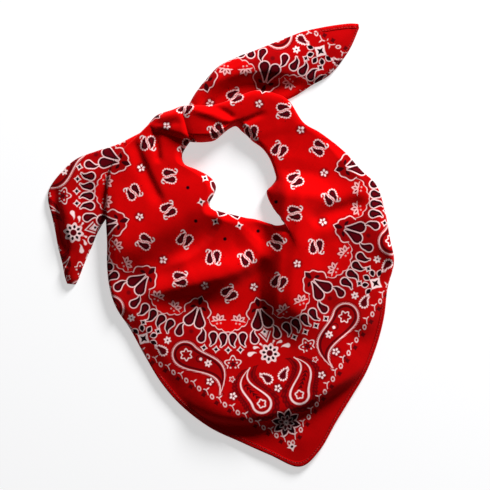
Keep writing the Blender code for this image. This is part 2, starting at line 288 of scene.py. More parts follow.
WRAP_FOLDS = (
    Fold(-52, 170, -42, 151, -36, 122, -2.6, 5, 5),
    Fold(-56, 166, -66, 148, -74, 130, 1.4, 6, 6),
    Fold(-92, 150, -66, 146, -44, 148, -1.2, 6, 4),
)
LEFT_TAIL_FOLDS = (
    Fold(-140, 98, -182, 62, -182, -10, 4.0, 16, 12),
    Fold(-200, 76, -197, 34, -184, -20, -3.0, 6, 7),
)
RIGHT_TAIL_FOLDS = (
    Fold(-44, 140, 8, 204, 116, 196, 6.0, 28, 9),
    Fold(-24, 140, 26, 188, 130, 184, -4.5, 10, 26),
    Fold(40, 214, 98, 230, 160, 256, 2.0, 18, 18),
)

def smooth(share: float) -> float:
    """An even step from 0 to 1, of a share that is clamped to 0 and 1."""
    share = min(max(share, 0.0), 1.0)
    return share * share * (3 - 2 * share)


def quarter(share: float) -> float:
    """The height of a quarter round, 0 at its foot and 1 at its top."""
    share = min(max(share, 0.0), 1.0)
    return math.sqrt(1 - (1 - share) ** 2)


def ramp(place: float, rows: tuple[float, float]) -> float:
    """An even step from 0 at one row of a table to 1 at another."""
    return smooth((place - rows[0]) / (rows[1] - rows[0]))


def pinched(place: float) -> float:
    """How far the band is gathered at the notch under the right arm, from 0 to 1."""
    return ramp(place, PINCH_BEGINS) * (1 - ramp(place, PINCH_ENDS))


def width_of(section: Section) -> float:
    """The plan length of a section, from the neck side to the far side."""
    return math.hypot(section.outer_x - section.inner_x, section.outer_y - section.inner_y)


def between(sections: Sequence[Section], place: float) -> Section:
    """The section at a place along a table, on a smooth curve through its rows.

    Args:
        sections: The rows of the table.
        place: A row number, whole or not, within the table.

    Returns:
        The section there.
    """
    row = min(max(int(place), 0), len(sections) - 2)
    part = place - row
    before = sections[max(row - 1, 0)]
    after = sections[min(row + 2, len(sections) - 1)]
    values = []
    for a, b, c, d in zip(before, sections[row], sections[row + 1], after):
        square = (2 * a - 5 * b + 4 * c - d) * part**2
        cube = (3 * b - a - 3 * c + d) * part**3
        values.append(0.5 * (2 * b + (c - a) * part + square + cube))
    return Section(*values)


def finished(name: str, mesh: bmesh.types.BMesh) -> bpy.types.Object:
    """Makes a bmesh a piece of the bandana.

    Args:
        name: The piece's name.
        mesh: Its mesh, in metres, which is freed.

    Returns:
        The piece, linked to the scene and riding on the bandana's body.
    """
    data = bpy.data.meshes.new(name)
    mesh.to_mesh(data)
    mesh.free()
    piece = bpy.data.objects.new(name, data)
    bpy.context.scene.collection.objects.link(piece)
    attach(piece, BODY)
    return piece


@dataclass
class Crease:
    """A fold with its curve worked out, ready to be added to the height of the cloth.

    Attributes:
        fold: The fold's three points, height and half-widths.
        curve: The ends of the straight parts of its curve.
        low: The least x and y at which the fold still counts.
        high: The greatest.
    """

    fold: Fold
    curve: list[tuple[float, float]] = field(init=False)
    low: tuple[float, float] = field(init=False)
    high: tuple[float, float] = field(init=False)

    def __post_init__(self) -> None:
        """Works out the curve and how far from it the fold still counts."""
        self.curve = [self._point(step / FOLD_PARTS) for step in range(FOLD_PARTS + 1)]
        margin = FOLD_REACH * max(self.fold.left, self.fold.right)
        across, along = zip(*self.curve)
        self.low = (min(across) - margin, min(along) - margin)
        self.high = (max(across) + margin, max(along) + margin)

    def _point(self, t: float) -> tuple[float, float]:
        """A point of the parabola through the fold's three points.

        Args:
            t: 0 at the first point, 0.5 at the second and 1 at the third.

        Returns:
            The point's x and y.
        """
        fold = self.fold
        first, middle, last = (1 - t) * (1 - 2 * t), 4 * t * (1 - t), t * (2 * t - 1)
        x = first * fold.x0 + middle * fold.x1 + last * fold.x2
        y = first * fold.y0 + middle * fold.y1 + last * fold.y2
        return x, y

    def height(self, x: float, y: float) -> float:
        """What the fold adds to the height of the cloth at a point of the plan.

        Args:
            x: The point's x, in millimetres.
            y: The point's y, in millimetres.

        Returns:
            The added height, below 0 in a valley.
        """
        if not (self.low[0] < x < self.high[0] and self.low[1] < y < self.high[1]):
            return 0.0
        nearest, side, travel = math.inf, 1.0, 0.0
        for step, ((ax, ay), (bx, by)) in enumerate(zip(self.curve, self.curve[1:])):
            dx, dy = bx - ax, by - ay
            share = ((x - ax) * dx + (y - ay) * dy) / (dx * dx + dy * dy)
            share = min(max(share, 0.0), 1.0)
            off_x, off_y = x - ax - dx * share, y - ay - dy * share
            distance = math.hypot(off_x, off_y)
            if distance < nearest:
                nearest, travel = distance, (step + share) / FOLD_PARTS
                side = dx * off_y - dy * off_x
        width = self.fold.left if side > 0 else self.fold.right
        fade = smooth(travel / FOLD_FADE) * smooth((1 - travel) / FOLD_FADE)
        return self.fold.height * fade * math.exp(-((nearest / width) ** 2))


class Station(NamedTuple):
    """One point of the cloth's outer face, with the point of the flat cloth that lies there.

    Attributes:
        spot: The point, in metres.
        flat: Where it is on the flat cloth, in millimetres.
        from_hem: How far it is from the nearest hem, in millimetres.
    """

    spot: Vector
    flat: tuple[float, float]
    from_hem: float = NO_HEM


@dataclass
class Stretch:
    """A length of the tied cloth, as a surface laid across a table of sections.

    Attributes:
        name: The piece's name.
        sections: Its table.
        folds: The folds and creases that cross it.
        nodes: The record's nodes that the piece stands for.
        rests_on: The names of the pieces under it; not used.
        stitching: The rows of stitches along its hems.
        slot: Its material slot; not used.
        rim: How its sides are turned under.
        floor: The height under which valleys flatten out.
        pitch: The mesh's spacing across the plan.
        wrinkle: Height of the small undulations.
        ply: Thickness of the cloth.
        edge_width: What the turned sides take of the width, when the mesh's columns are counted.
        creases: The folds, with their curves worked out.
    """

    name: str
    sections: Sequence[Section]
    folds: Sequence[Fold]
    nodes: tuple[str, ...]
    rests_on: tuple[str, ...] = ()
    stitching: tuple[Stitching, ...] = ()
    slot: Slot = Slot.FACE
    rim: Rim = Rim(bead=1.2, reach=40.0, round=4.0)
    floor: float = 2.4
    pitch: float = 3.25
    wrinkle: float = 0.55
    ply: float = 0.8
    edge_width: float = 12.0
    creases: list[Crease] = field(init=False)

    def __post_init__(self) -> None:
        """Works out the folds' curves."""
        self.creases = [Crease(fold) for fold in self.folds]

    def places(self) -> list[float]:
        """Spaces the rows of the mesh.

        Returns:
            Row numbers of the table, whole or not, about a pitch apart on the wider side.
        """
        found = [0.0]
        for row, (a, b) in enumerate(zip(self.sections, self.sections[1:])):
            outer = math.hypot(b.outer_x - a.outer_x, b.outer_y - a.outer_y)
            inner = math.hypot(b.inner_x - a.inner_x, b.inner_y - a.inner_y)
            count = max(2, math.ceil(max(outer, inner) / self.pitch))
            found += [row + step / count for step in range(1, count + 1)]
        return found

    def rims(self, place: float) -> tuple[Rim, Rim]:
        """How the neck side and the far side are turned under at a place."""
        return self.rim, self.rim

    def hemmed(self, place: float) -> tuple[float, float]:
        """How far the neck side and the far side are hemmed at a place, from 0 to 1."""
        return 0.0, 0.0

    def facing(self) -> float:
        """Which way the printed side looks, as the sign of its normal's height."""
        return 1.0

    def from_hem(self, place: float, flat: float) -> float:
        """How far a point of the flat cloth is from the nearer hem, in millimetres.

        Args:
            place: Where along the table.
            flat: The point's distance from the neck side on the flat cloth.

        Returns:
            The distance, which is long where neither side is hemmed.
        """
        near, far = self.hemmed(place)
        width = width_of(between(self.sections, place))
        return min(flat + NO_HEM * (1 - near), width - flat + NO_HEM * (1 - far))

    def height(self, section: Section, distance: float) -> float:
        """The height of the cloth's outer face.

        Args:
            section: The section it is on.
            distance: How far from the neck side, in millimetres.

        Returns:
            The height over the surface that the cloth lies on.
        """
        width = width_of(section)
        gentle = OUTER_ROUND + HEM_SLOPE * max(0.0, HEM_LEVEL - section.outer_edge)
        inner, outer = min(INNER_ROUND, width / 2), min(gentle, width / 2)
        near = math.sin(math.pi / 2 * min(max(distance / inner, 0.0), 1.0))
        profile = smooth if outer > OUTER_ROUND else quarter
        far = profile((width - distance) / outer)
        level = section.crown - (section.crown - section.inner_edge) * (1 - near)
        level -= (section.crown - section.outer_edge) * (1 - far)
        x, y = self.plan(section, distance)
        inward = max(0.0, min(1.0, distance / inner, (width - distance) / OUTER_ROUND))
        folded = sum(crease.height(x, y) for crease in self.creases) + self._ripple(x, y)
        above = level + folded * (EDGE_SHARE + (1 - EDGE_SHARE) * inward) - self.floor
        settled = above if above > SETTLE else SETTLE * math.exp(above / SETTLE - 1)
        return self.floor + settled

    def _ripple(self, x: float, y: float) -> float:
        """The small undulations of soft cotton that has been folded and worn.

        Args:
            x: The point's x, in millimetres.
            y: The point's y, in millimetres.

        Returns:
            What they add to the height.
        """
        return self.wrinkle * sum(
            share * noise.noise(Vector((x / wavelength, y / wavelength, layer)))
            for wavelength, layer, share in RIPPLES
        )

    @staticmethod
    def plan(section: Section, distance: float) -> tuple[float, float]:
        """Where a point of a section is in the plan.

        Args:
            section: The section.
            distance: The point's distance from the neck side.

        Returns:
            The point's x and y.
        """
        share = distance / width_of(section)
        x = section.inner_x + (section.outer_x - section.inner_x) * share
        y = section.inner_y + (section.outer_y - section.inner_y) * share
        return x, y

    def _turned(
        self, rim: Rim, width: float, top: Callable[[float], float]
    ) -> list[tuple[float, float, float]]:
        """The turned-under side of a section, from its tuck to the top of its round.

        Args:
            rim: How the side is turned.
            width: The section's width.
            top: The height of the top at a distance from this side.

        Returns:
            Distance from the side, height, and distance on the flat cloth, for each point.
        """
        reach, rounding = min(rim.reach, REACH_LIMIT * width), min(rim.round, ROUND_LIMIT * width)
        peak = top(rounding)
        bead = min(rim.bead, rounding, max(LEAST_BEAD, (peak - rim.foot) / 2))
        points = [(bead + (reach - bead) * share, rim.foot) for share in TUCK_SHARES]
        for step in range(BEAD_STEPS):
            angle = math.pi / 2 * step / BEAD_STEPS
            distance = bead * (1 - math.sin(angle))
            points.append((distance, rim.foot + bead * (1 - math.cos(angle))))
        start = rim.foot + bead
        for step in range(ROUND_STEPS):
            angle = math.pi / 2 * step / ROUND_STEPS
            distance = rounding * (1 - math.cos(angle))
            points.append((distance, start + (top(distance) - start) * math.sin(angle)))
        flat, above, turned = rounding, (rounding, peak), []
        for point in reversed(points):
            flat -= math.dist(point, above)
            turned.append((*point, flat))
            above = point
        return turned[::-1]

    def across(self, place: float, middle: int) -> list[Station]:
        """The points of the cloth's outer face across the stretch, from tuck to tuck.

        Args:
            place: Where along the table.
            middle: How many points lie between the two turned sides.

        Returns:
            The points in order.
        """
        section = between(self.sections, place)
        width = width_of(section)
        inner, outer = self.rims(place)
        near = self._turned(inner, width, lambda d: self.height(section, d))
        far = self._turned(outer, width, lambda d: self.height(section, width - d))
        start = min(inner.round, ROUND_LIMIT * width)
        end = width - min(outer.round, ROUND_LIMIT * width)
        found = list(near)
        for step in range(middle):
            distance = start + (end - start) * (step + 0.5) / middle
            found.append((distance, self.height(section, distance), distance))
        found += [(width - d, height, width - flat) for d, height, flat in reversed(far)]
        stations = []
        for distance, height, flat in found:
            spot = Vector((*self.plan(section, distance), height)) * MM
            flat_spot = self.plan(section, flat)
            stations.append(Station(spot, flat_spot, self.from_hem(place, flat)))
        return stations

    def build(self) -> bpy.types.Object:
        """Lays a grid over the stretch and gives it the thickness of the cloth.

        Returns:
            The piece, linked to the scene.
        """
        widest = max(width_of(section) for section in self.sections)
        middle = max(LEAST_COLUMNS, math.ceil((widest - self.edge_width) / self.pitch))
        piece = finished(self.name, self._laid([self.across(p, middle) for p in self.places()]))
        shell = piece.modifiers.new("ply", "SOLIDIFY")
        shell.thickness = self.ply * MM
        shell.offset = -1.0
        shell.use_even_offset = False
        shell.use_quality_normals = True
        shell.material_offset = 1
        shell.material_offset_rim = 0
        return piece

    def _laid(self, rows: Sequence[Sequence[Station]]) -> bmesh.types.BMesh:
        """Moves a grid's points to the stations, and writes the map of the flat cloth.

        Args:
            rows: The stations across each place.

        Returns:
            The surface, with its printed side outwards.
        """
        mesh = bmesh.new()
        flat = mesh.loops.layers.uv.new(CLOTH_MAP)
        hem = mesh.verts.layers.float.new(HEM_MAP)
        last_row, last_column = len(rows) - 1, len(rows[0]) - 1
        bmesh.ops.create_grid(mesh, x_segments=last_row, y_segments=last_column, size=0.5)
        spots = {}
        for vertex in mesh.verts:
            row = round((vertex.co.x + 0.5) * last_row)
            station = rows[row][round((vertex.co.y + 0.5) * last_column)]
            vertex.co = station.spot
            vertex[hem] = station.from_hem * MM
            spots[vertex] = station.flat
        for face in mesh.faces:
            face.smooth = True
            for loop in face.loops:
                x, y = spots[loop.vert]
                loop[flat].uv = (x * MM, y * MM)
        mesh.normal_update()
        if sum(face.normal.z * face.calc_area() for face in mesh.faces) * self.facing() < 0:
            bmesh.ops.reverse_faces(mesh, faces=mesh.faces)
        return mesh

    def dress(self, finishes: Finishes) -> bpy.types.Object:
        """Args:
            finishes: The materials.

        Returns:
            The piece.
        """
        piece = self.build()
        piece.data.materials.append(finishes.face)
        piece.data.materials.append(finishes.reverse)
        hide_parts(*self.nodes)
        rows = [row.build(self) for row in self.stitching]
        for row in rows:
            row.data.materials.append(finishes.thread)
        return piece

    @staticmethod
    def cut(piece: bpy.types.Object) -> tuple[float, float, float]:
        """The flat cut of a finished stretch, from its map of the flat cloth.

        Args:
            piece: The stretch's piece.

        Returns:
            The cut's width, length and area, in metres and square metres.
        """
        points = [Vector(loop.uv) for loop in piece.data.uv_layers[CLOTH_MAP].data]
        across, along = [point.x for point in points], [point.y for point in points]
        area = sum(
            abs((points[c] - points[a]).cross(points[d] - points[b])) / 2
            for a, b, c, d in (tuple(face.loop_indices) for face in piece.data.polygons)
        )
        return max(across) - min(across), max(along) - min(along), area


@dataclass
class Band(Stretch):
    """The folded cloth, from the knot down the left arm, across the front and up the right arm.

    Its last rows are the roll over the top of the neck opening. Pairs of rows say where along the
    table a change begins and where it is complete.

    Attributes:
        hem_begins: The hem of the far side comes in.
        hem_ends: It goes out.
        roll_begins: The far side is lifted for the roll.
        off_tail: The left arm comes down from the left tail to the floor.
        on_tail: Height of the arm's far side on the tail.
        on_roll: Height of the roll's far side.
        hem_drop: How far the hem's foot is under the top of the far side.
        far_rim: The far side where it is folded.
        hem_rim: The far side where it is hemmed.
        neck_rim: The neck side where the cloth is loose.
        tight_rim: The neck side where it is drawn together.
        tightens: The neck side is drawn together.
        eases: It is drawn together less.
        eased: How much less.
        loosens: It is loose again.
    """

    hem_begins: tuple[float, float] = (12.0, 13.0)
    hem_ends: tuple[float, float] = (24.4, 25.4)
    roll_begins: tuple[float, float] = (33.0, 35.0)
    off_tail: tuple[float, float] = (5.2, 7.2)
    on_tail: float = 7.9
    on_roll: float = 8.9
    hem_drop: float = 2.1
    far_rim: Rim = Rim(bead=1.6, reach=10.0, round=2.2)
    hem_rim: Rim = Rim(bead=1.0, reach=6.0, round=1.0)
    neck_rim: Rim = Rim(bead=1.7, reach=10.0, round=2.4)
    tight_rim: Rim = Rim(bead=1.2, reach=3.0, round=2.4)
    tightens: tuple[float, float] = (17.0, 18.5)
    eases: tuple[float, float] = (22.5, 24.0)
    eased: float = 0.6
    loosens: tuple[float, float] = (33.0, 34.5)

    def hemmed(self, place: float) -> tuple[float, float]:
        """How far the neck side and the far side are hemmed at a place, from 0 to 1."""
        return 0.0, ramp(place, self.hem_begins) * (1 - ramp(place, self.hem_ends))

    def rims(self, place: float) -> tuple[Rim, Rim]:
        """How the neck side and the far side are turned under at a place.

        Args:
            place: Where along the table.

        Returns:
            The two rims.
        """
        raised = self.on_tail * (1 - ramp(place, self.off_tail))
        rolled = self.on_roll * ramp(place, self.roll_begins)
        folded = self.far_rim._replace(foot=max(FLOOR_GAP, raised, rolled))
        hem_foot = between(self.sections, place).outer_edge - self.hem_drop
        outer = folded.towards(self.hem_rim._replace(foot=hem_foot), self.hemmed(place)[1])
        tight = ramp(place, self.tightens) * (1 - self.eased * ramp(place, self.eases))
        inner = self.neck_rim.towards(self.tight_rim, tight * (1 - ramp(place, self.loosens)))
        return inner._replace(foot=FLOOR_GAP + PINCH_LIFT * pinched(place)), outer


@dataclass
class Under(Stretch):
    """The layer of the folded cloth that lies on the floor, printed side down.

    Attributes:
        span: The first and the last place that it reaches.
        inset: How far it stays inside the outline, in millimetres.
        tail_inset: How far it stays in from the far side where the left tail lies.
        off_tail: Where along the table it comes out from beside the tail.
        hem: Height of the turned hem.
        hem_reach: How far the hem goes back over the cloth.
        hem_steps: The parts of the hem's turn.
    """

    span: tuple[float, float] = (0.3, 33.7)
    inset: float = 3.0
    tail_inset: float = 20.0
    off_tail: tuple[float, float] = (5.5, 8.0)
    hem: float = 1.6
    hem_reach: float = 6.0
    hem_steps: int = 4

    def places(self) -> list[float]:
        """Row numbers from the first to the last that this layer reaches."""
        low, high = self.span
        return [low, *(place for place in super().places() if low < place < high), high]

    def across(self, place: float, middle: int) -> list[Station]:
        """The points of the printed side, from the neck side to the end of the turned hem.

        Args:
            place: Where along the table.
            middle: How many points lie on the floor.

        Returns:
            The points in order.
        """
        section = between(self.sections, place)
        beside_tail = (self.tail_inset - self.inset) * (1 - ramp(place, self.off_tail))
        low, high = self.inset, width_of(section) - self.inset - beside_tail
        ground = FLOOR_GAP + PINCH_LIFT * pinched(place)
        found = [(low + (high - low) * step / (middle - 1), ground) for step in range(middle)]
        radius = self.hem / 2
        for step in range(1, self.hem_steps + 1):
            angle = math.pi * step / self.hem_steps
            rise = radius * (1 - math.cos(angle))
            found.append((high + radius * math.sin(angle), ground + rise))
        found += [(high - self.hem_reach * share, ground + self.hem) for share in (0.5, 1.0)]
        stations = []
        for distance, height in found:
            x, y = self.plan(section, distance)
            stations.append(Station(Vector((x, y, height)) * MM, (x, y)))
        return stations

    def facing(self) -> float:
        """Which way the printed side looks, as the sign of its normal's height."""
        return -1.0


@dataclass
class Wrap(Stretch):
    """The turn of the knot, over the end of the left arm.

    Attributes:
        arm_top: Height of the arm under the lower side.
        arm_share: The most that the arm takes of the crown's height.
        low_rim: The lower side, which is turned under on top of the arm.
        high_rim: The upper side, which is turned under on the floor.
    """

    arm_top: float = 11.8
    arm_share: float = 0.75
    low_rim: Rim = Rim(bead=1.9, reach=8.0, round=3.0)
    high_rim: Rim = Rim(bead=1.7, reach=8.0, round=6.0)

    def rims(self, place: float) -> tuple[Rim, Rim]:
        """The lower side is turned under on top of the arm, and the upper one on the floor."""
        rest = min(self.arm_top, self.arm_share * between(self.sections, place).crown)
        return self.low_rim._replace(foot=rest), self.high_rim


@dataclass
class Tail(Stretch):
    """An end of the cloth that comes out of the knot. Its sides nearly meet underneath.

    Attributes:
        hem_begins: Where the hems of the cloth's corner come in, if they show.
    """

    hem_begins: tuple[float, float] | None = None

    def hemmed(self, place: float) -> tuple[float, float]:
        """How far the two sides are hemmed at a place, from 0 to 1."""
        share = ramp(place, self.hem_begins) if self.hem_begins else 0.0
        return share, share


@dataclass
class Stitching:
    """A row of straight stitches along the hemmed side of a stretch.

    Attributes:
        name: The piece's name.
        side: The side that the row follows.
        start: Where the row starts along the stretch's table.
        end: Where it ends.
        inset: Distance from the folded edge, in millimetres.
        pitch: From one stitch to the next, in millimetres.
        length: Length of the thread that shows, in millimetres.
        radius: The thread's radius, in millimetres.
        step: How finely the row is followed, in rows of the table.
    """

    name: str
    side: Side
    start: float
    end: float
    inset: float = 4.8
    pitch: float = 3.3
    length: float = 2.3
    radius: float = 0.26
    step: float = 0.02

    def spot(self, stretch: Stretch, place: float) -> Vector:
        """The point of the cloth under the row.

        Args:
            stretch: The stretch that is sewn.
            place: Where along its table.

        Returns:
            The point, in millimetres.
        """
        section = between(stretch.sections, place)
        far = self.side is Side.FAR
        distance = width_of(section) - self.inset if far else self.inset
        x, y = stretch.plan(section, distance)
        return Vector((x, y, stretch.height(section, distance)))

    def build(self, stretch: Stretch) -> bpy.types.Object:
        """Sews the row.

        Args:
            stretch: The stretch that is sewn.

        Returns:
            The piece, linked to the scene.
        """
        mesh = bmesh.new()
        size = Matrix.Diagonal((self.length / 2, self.radius, self.radius, 1 / MM)) * MM
        lift = Vector((0, 0, self.radius / 2))
        before, left = self.spot(stretch, self.start), 0.0
        for step in range(1, round((self.end - self.start) / self.step)):
            after = self.spot(stretch, self.start + step * self.step)
            run = after - before
            left += run.length
            if left >= self.pitch and run.length > 0:
                left -= self.pitch
                turn = run.to_track_quat("X", "Z").to_matrix().to_4x4()
                at = Matrix.Translation((after + lift) * MM) @ turn @ size
                bmesh.ops.create_icosphere(mesh, subdivisions=2, radius=1.0, matrix=at)
            before = after
        for face in mesh.faces:
            face.smooth = True
        return finished(self.name, mesh)


@dataclass(eq=False)
class Signal:
    """A number or vector that varies over the cloth, as a shader node's output.

    Attributes:
        pen: What drew it.
        socket: The node's output.
    """

    pen: Pen
    socket: bpy.types.NodeSocket

    def __add__(self, other: Signal | float) -> Signal:
        """The sum."""
        return self.pen.maths("ADD", self, other)

    def __sub__(self, other: Signal | float) -> Signal:
        """The difference."""
        return self.pen.maths("SUBTRACT", self, other)

    def __mul__(self, other: Signal | float) -> Signal:
        """The product."""
        return self.pen.maths("MULTIPLY", self, other)

    def __pow__(self, power: float) -> Signal:
        """The value to a power."""
        return self.pen.maths("POWER", self, power)

    def __neg__(self) -> Signal:
        """The value with the other sign."""
        return self.pen.maths("MULTIPLY", self, -1.0)

    def __abs__(self) -> Signal:
        """The value without its sign."""
        return self.pen.maths("ABSOLUTE", self)

    def scaled(self, factor: Signal | float, offset: Signal | float = 0.0) -> Signal:
        """The value times a factor, plus an offset."""
        return self.pen.maths("MULTIPLY_ADD", self, factor, offset)

    def ramp(self, low: float, high: float) -> Signal:
        """An even climb from 0 at one value to 1 at another, and level past them."""
        scale = 1 / (high - low)
        return self.pen.maths("MULTIPLY_ADD", self, scale, -low * scale, clamp=True)

    def over(self, limit: float) -> Signal:
        """1 where the value is over a limit, and 0 elsewhere."""
        return self.pen.maths("GREATER_THAN", self, limit)

    def under(self, limit: float) -> Signal:
        """1 where the value is under a limit, and 0 elsewhere."""
        return self.pen.maths("LESS_THAN", self, limit)

    def near(self, value: float, reach: float) -> Signal:
        """1 within a reach of a value, and 0 elsewhere."""
        return self.pen.maths("COMPARE", self, value, reach)

    def least(self, other: Signal | float) -> Signal:
        """The smaller of two values."""
        return self.pen.maths("MINIMUM", self, other)

    def most(self, other: Signal | float) -> Signal:
        """The larger of two values."""
        return self.pen.maths("MAXIMUM", self, other)

    def sine(self) -> Signal:
        """The sine of an angle in radians."""
        return self.pen.maths("SINE", self)

    def cosine(self) -> Signal:
        """The cosine of an angle in radians."""
        return self.pen.maths("COSINE", self)

    def split(self) -> tuple[Signal, Signal]:
        """The two plan coordinates of a point."""
        node = self.pen.node("ShaderNodeSeparateXYZ", self)
        return Signal(self.pen, node.outputs[0]), Signal(self.pen, node.outputs[1])

    def length(self) -> Signal:
        """The distance of a point from the middle."""
        return self.pen.vector("LENGTH", self, measure=True)

    def bearing(self) -> Signal:
        """The direction of a point from the middle, in radians."""
        along, across = self.split()
        return self.pen.maths("ARCTAN2", across, along)

    def degrees(self) -> Signal:
        """The direction of a point from the middle, in degrees."""
        return self.bearing() * (180 / math.pi)


@dataclass
class Pen:
    """Writes arithmetic and textures into a tree of shader nodes.

    Attributes:
        tree: The nodes.
        soft: How far the edge of a printed shape takes to fade, in print units.
    """

    MIX_UNDER, MIX_OVER, MIX_COLOR = 6, 7, 2  # a colour mix's sockets
    SWAY = 6.75  # makes a swayed line's greatest sway equal to its bend
    FLANK = 0.94  # shortens the distance beside a paisley's slanting flank
    HOLLOW = 0.8  # the slope of a four-pointed star's sides

    tree: bpy.types.NodeTree
    soft: float = 0.85

    def wire(self, node: bpy.types.Node, inputs: Mapping[str | int, Value]) -> None:
        """Connects or sets some of a node's inputs.

        Args:
            node: The node.
            inputs: A signal, number or vector for the name or number of each input.
        """
        for name, value in inputs.items():
            if isinstance(value, Signal):
                self.tree.links.new(value.socket, node.inputs[name])
            else:
                node.inputs[name].default_value = value

    def node(self, kind: str, *values: Value, **settings: object) -> bpy.types.Node:
        """Adds a node.

        Args:
            kind: The node's type.
            values: A signal, number or vector for each of its first inputs.
            settings: Its own settings.

        Returns:
            The node.
        """
        node = self.tree.nodes.new(kind)
        for name, setting in settings.items():
            setattr(node, name, setting)
        self.wire(node, dict(enumerate(values)))
        return node

    def maths(self, operation: str, *values: Signal | float, clamp: bool = False) -> Signal:
        """One arithmetic step.

        Args:
            operation: The Math node's operation.
            values: Its inputs.
            clamp: Whether the result stays between 0 and 1.

        Returns:
            The result.
        """
        node = self.node("ShaderNodeMath", *values, operation=operation, use_clamp=clamp)
        return Signal(self, node.outputs[0])

    def vector(self, operation: str, *values: Value, measure: bool = False) -> Signal:
        """One step of vector arithmetic.

        Args:
            operation: The Vector Math node's operation.
            values: Its inputs.
            measure: Whether the result is the node's number and not its vector.

        Returns:
            The result.
        """
        node = self.node("ShaderNodeVectorMath", *values, operation=operation)
        return Signal(self, node.outputs["Value" if measure else "Vector"])

    def times(self, vector: Signal, factor: Signal) -> Signal:
        """A vector or colour times a number.

        Args:
            vector: The vector or colour.
            factor: The number.

        Returns:
            The product.
        """
        node = self.node("ShaderNodeVectorMath", vector, operation="SCALE")
        self.wire(node, {"Scale": factor})
        return Signal(self, node.outputs["Vector"])

    def mixed(self, share: Signal | float, under: Value, over: Value) -> Signal:
        """Lays a colour over another.

        Args:
            share: How far the upper one covers, from 0 to 1.
            under: The lower colour.
            over: The upper colour.

        Returns:
            The colour.
        """
        node = self.node("ShaderNodeMix", data_type="RGBA")
        self.wire(node, {"Factor": share, self.MIX_UNDER: under, self.MIX_OVER: over})
        return Signal(self, node.outputs[self.MIX_COLOR])

    def joined(self, along: Signal | float, across: Signal | float) -> Signal:
        """A point from its two plan coordinates."""
        return Signal(self, self.node("ShaderNodeCombineXYZ", along, across).outputs[0])

    def placed(
        self, point: Signal, at: tuple[float, float], turn: float = 0.0, unit: float = 1.0
    ) -> Signal:
        """A point as seen from a motif's own centre.

        Args:
            point: The point.
            at: The motif's centre.
            turn: The direction of the motif's own first axis, in degrees.
            unit: The length of its own unit.

        Returns:
            The point in the motif's frame.
        """
        values = (point, (*at, 0.0), (0.0, 0.0, math.radians(turn)), (unit,) * 3)
        node = self.node("ShaderNodeMapping", *values, vector_type="TEXTURE")
        return Signal(self, node.outputs[0])

    def sector(self, point: Signal, count: int, phase: float = 0.0, mirror: bool = False) -> Signal:
        """Lays every one of a number of equal sectors on the first.

        Args:
            point: The point, about the centre of the motif.
            count: How many sectors go round.
            phase: Direction of the first sector's middle, in degrees.
            mirror: Whether a sector's two halves are laid on each other too.

        Returns:
            The point in the sector: how far along its middle line, and how far from it.
        """
        turns = point.bearing().scaled(count / math.tau, -phase * count / 360)
        ends = (0.5,) if mirror else (0.5, -0.5)
        turned = self.maths("PINGPONG" if mirror else "WRAP", turns, *ends)
        angle, radius = turned * (math.tau / count), point.length()
        return self.joined(angle.cosine() * radius, angle.sine() * radius)

    def folded(self, point: Signal, count: int, phase: float = 0.0) -> Signal:
        """Folds the plane into one half-sector of a number of equal ones."""
        return self.sector(point, count, phase, mirror=True)

    def filled(self, distance: Signal, grow: float = 0.0) -> Signal:
        """A mask that is 1 inside a shape, grown by a margin."""
        return distance.ramp(grow + self.soft / 2, grow - self.soft / 2)

    def lined(self, distance: Signal, width: float) -> Signal:
        """A mask that is 1 on a line of a given width along a shape's edge."""
        return self.filled(abs(distance), width / 2)

    def circle(self, point: Signal, at: tuple[float, float], radius: float) -> Signal:
        """Distance outside a circle."""
        return self.vector("DISTANCE", point, (*at, 0.0), measure=True) - radius

    def lobed(
        self, point: Signal, count: int, radius: float, swing: float, phase: float = 0.0
    ) -> Signal:
        """Distance outside a rounded star.

        Args:
            point: The point in the star's frame.
            count: How many lobes it has.
            radius: Its mean radius.
            swing: How far the lobes reach past it.
            phase: Turns the lobes; at 180 a hollow lies on the first axis.

        Returns:
            The distance, below 0 inside.
        """
        wave = point.bearing().scaled(count, math.radians(phase)).cosine()
        return point.length() - wave.scaled(swing, radius)

    def swayed(self, point: Signal, length: float, bend: float) -> tuple[Signal, Signal]:
        """Measures a point from a middle line that starts and ends on the first axis.

        Args:
            point: The point in the motif's frame.
            length: The line's length.
            bend: How far it sways to the side.

        Returns:
            The share of the length, clamped to 0 and 1, and how far the point is to the side.
        """
        along, across = point.split()
        share = along.ramp(0.0, length)
        if bend:
            across = (share * share * share.scaled(-1.0, 1.0)).scaled(-self.SWAY * bend, across)
        return share, across

    def drop(self, point: Signal, radius: float, length: float, bend: float = 0.0) -> Signal:
        """Distance outside a teardrop about its bulb's centre, its tip along the first axis.

        Args:
            point: The point in the drop's frame.
            radius: The bulb's radius.
            length: From the bulb's centre to the tip.
            bend: How far the tail sways to the side.

        Returns:
            The distance, below 0 inside.
        """
        along, _ = point.split()
        across = abs(self.swayed(point, length, bend)[1])
        opening = math.acos(radius / length)
        side = along.scaled(math.cos(opening), across.scaled(math.sin(opening), -radius))
        bulb = self.maths("SQRT", along.scaled(along, across * across)) - radius
        past = self.maths("GREATER_THAN", along * math.tan(opening), across)
        return past.scaled(side - bulb, bulb).most(along - length)

    def paisley(
        self, point: Signal, radius: float, length: float, bend: float, fat: float
    ) -> Signal:
        """Distance outside a full-bodied paisley about its bulb's centre.

        Args:
            point: The point in the paisley's frame, its tip along the first axis.
            radius: The bulb's radius.
            length: From the bulb's centre to the tip.
            bend: How far the body sways to the side.
            fat: How late the body narrows; 1 is a straight cone.

        Returns:
            The distance, below 0 inside.
        """
        along, _ = point.split()
        share, across = self.swayed(point, length, bend)
        across = abs(across)
        body = (across - (share**fat).scaled(-radius, radius)) * self.FLANK
        bulb = self.maths("SQRT", along.scaled(along, across * across)) - radius
        return along.over(0.0).scaled(body - bulb, bulb).most(along - length)

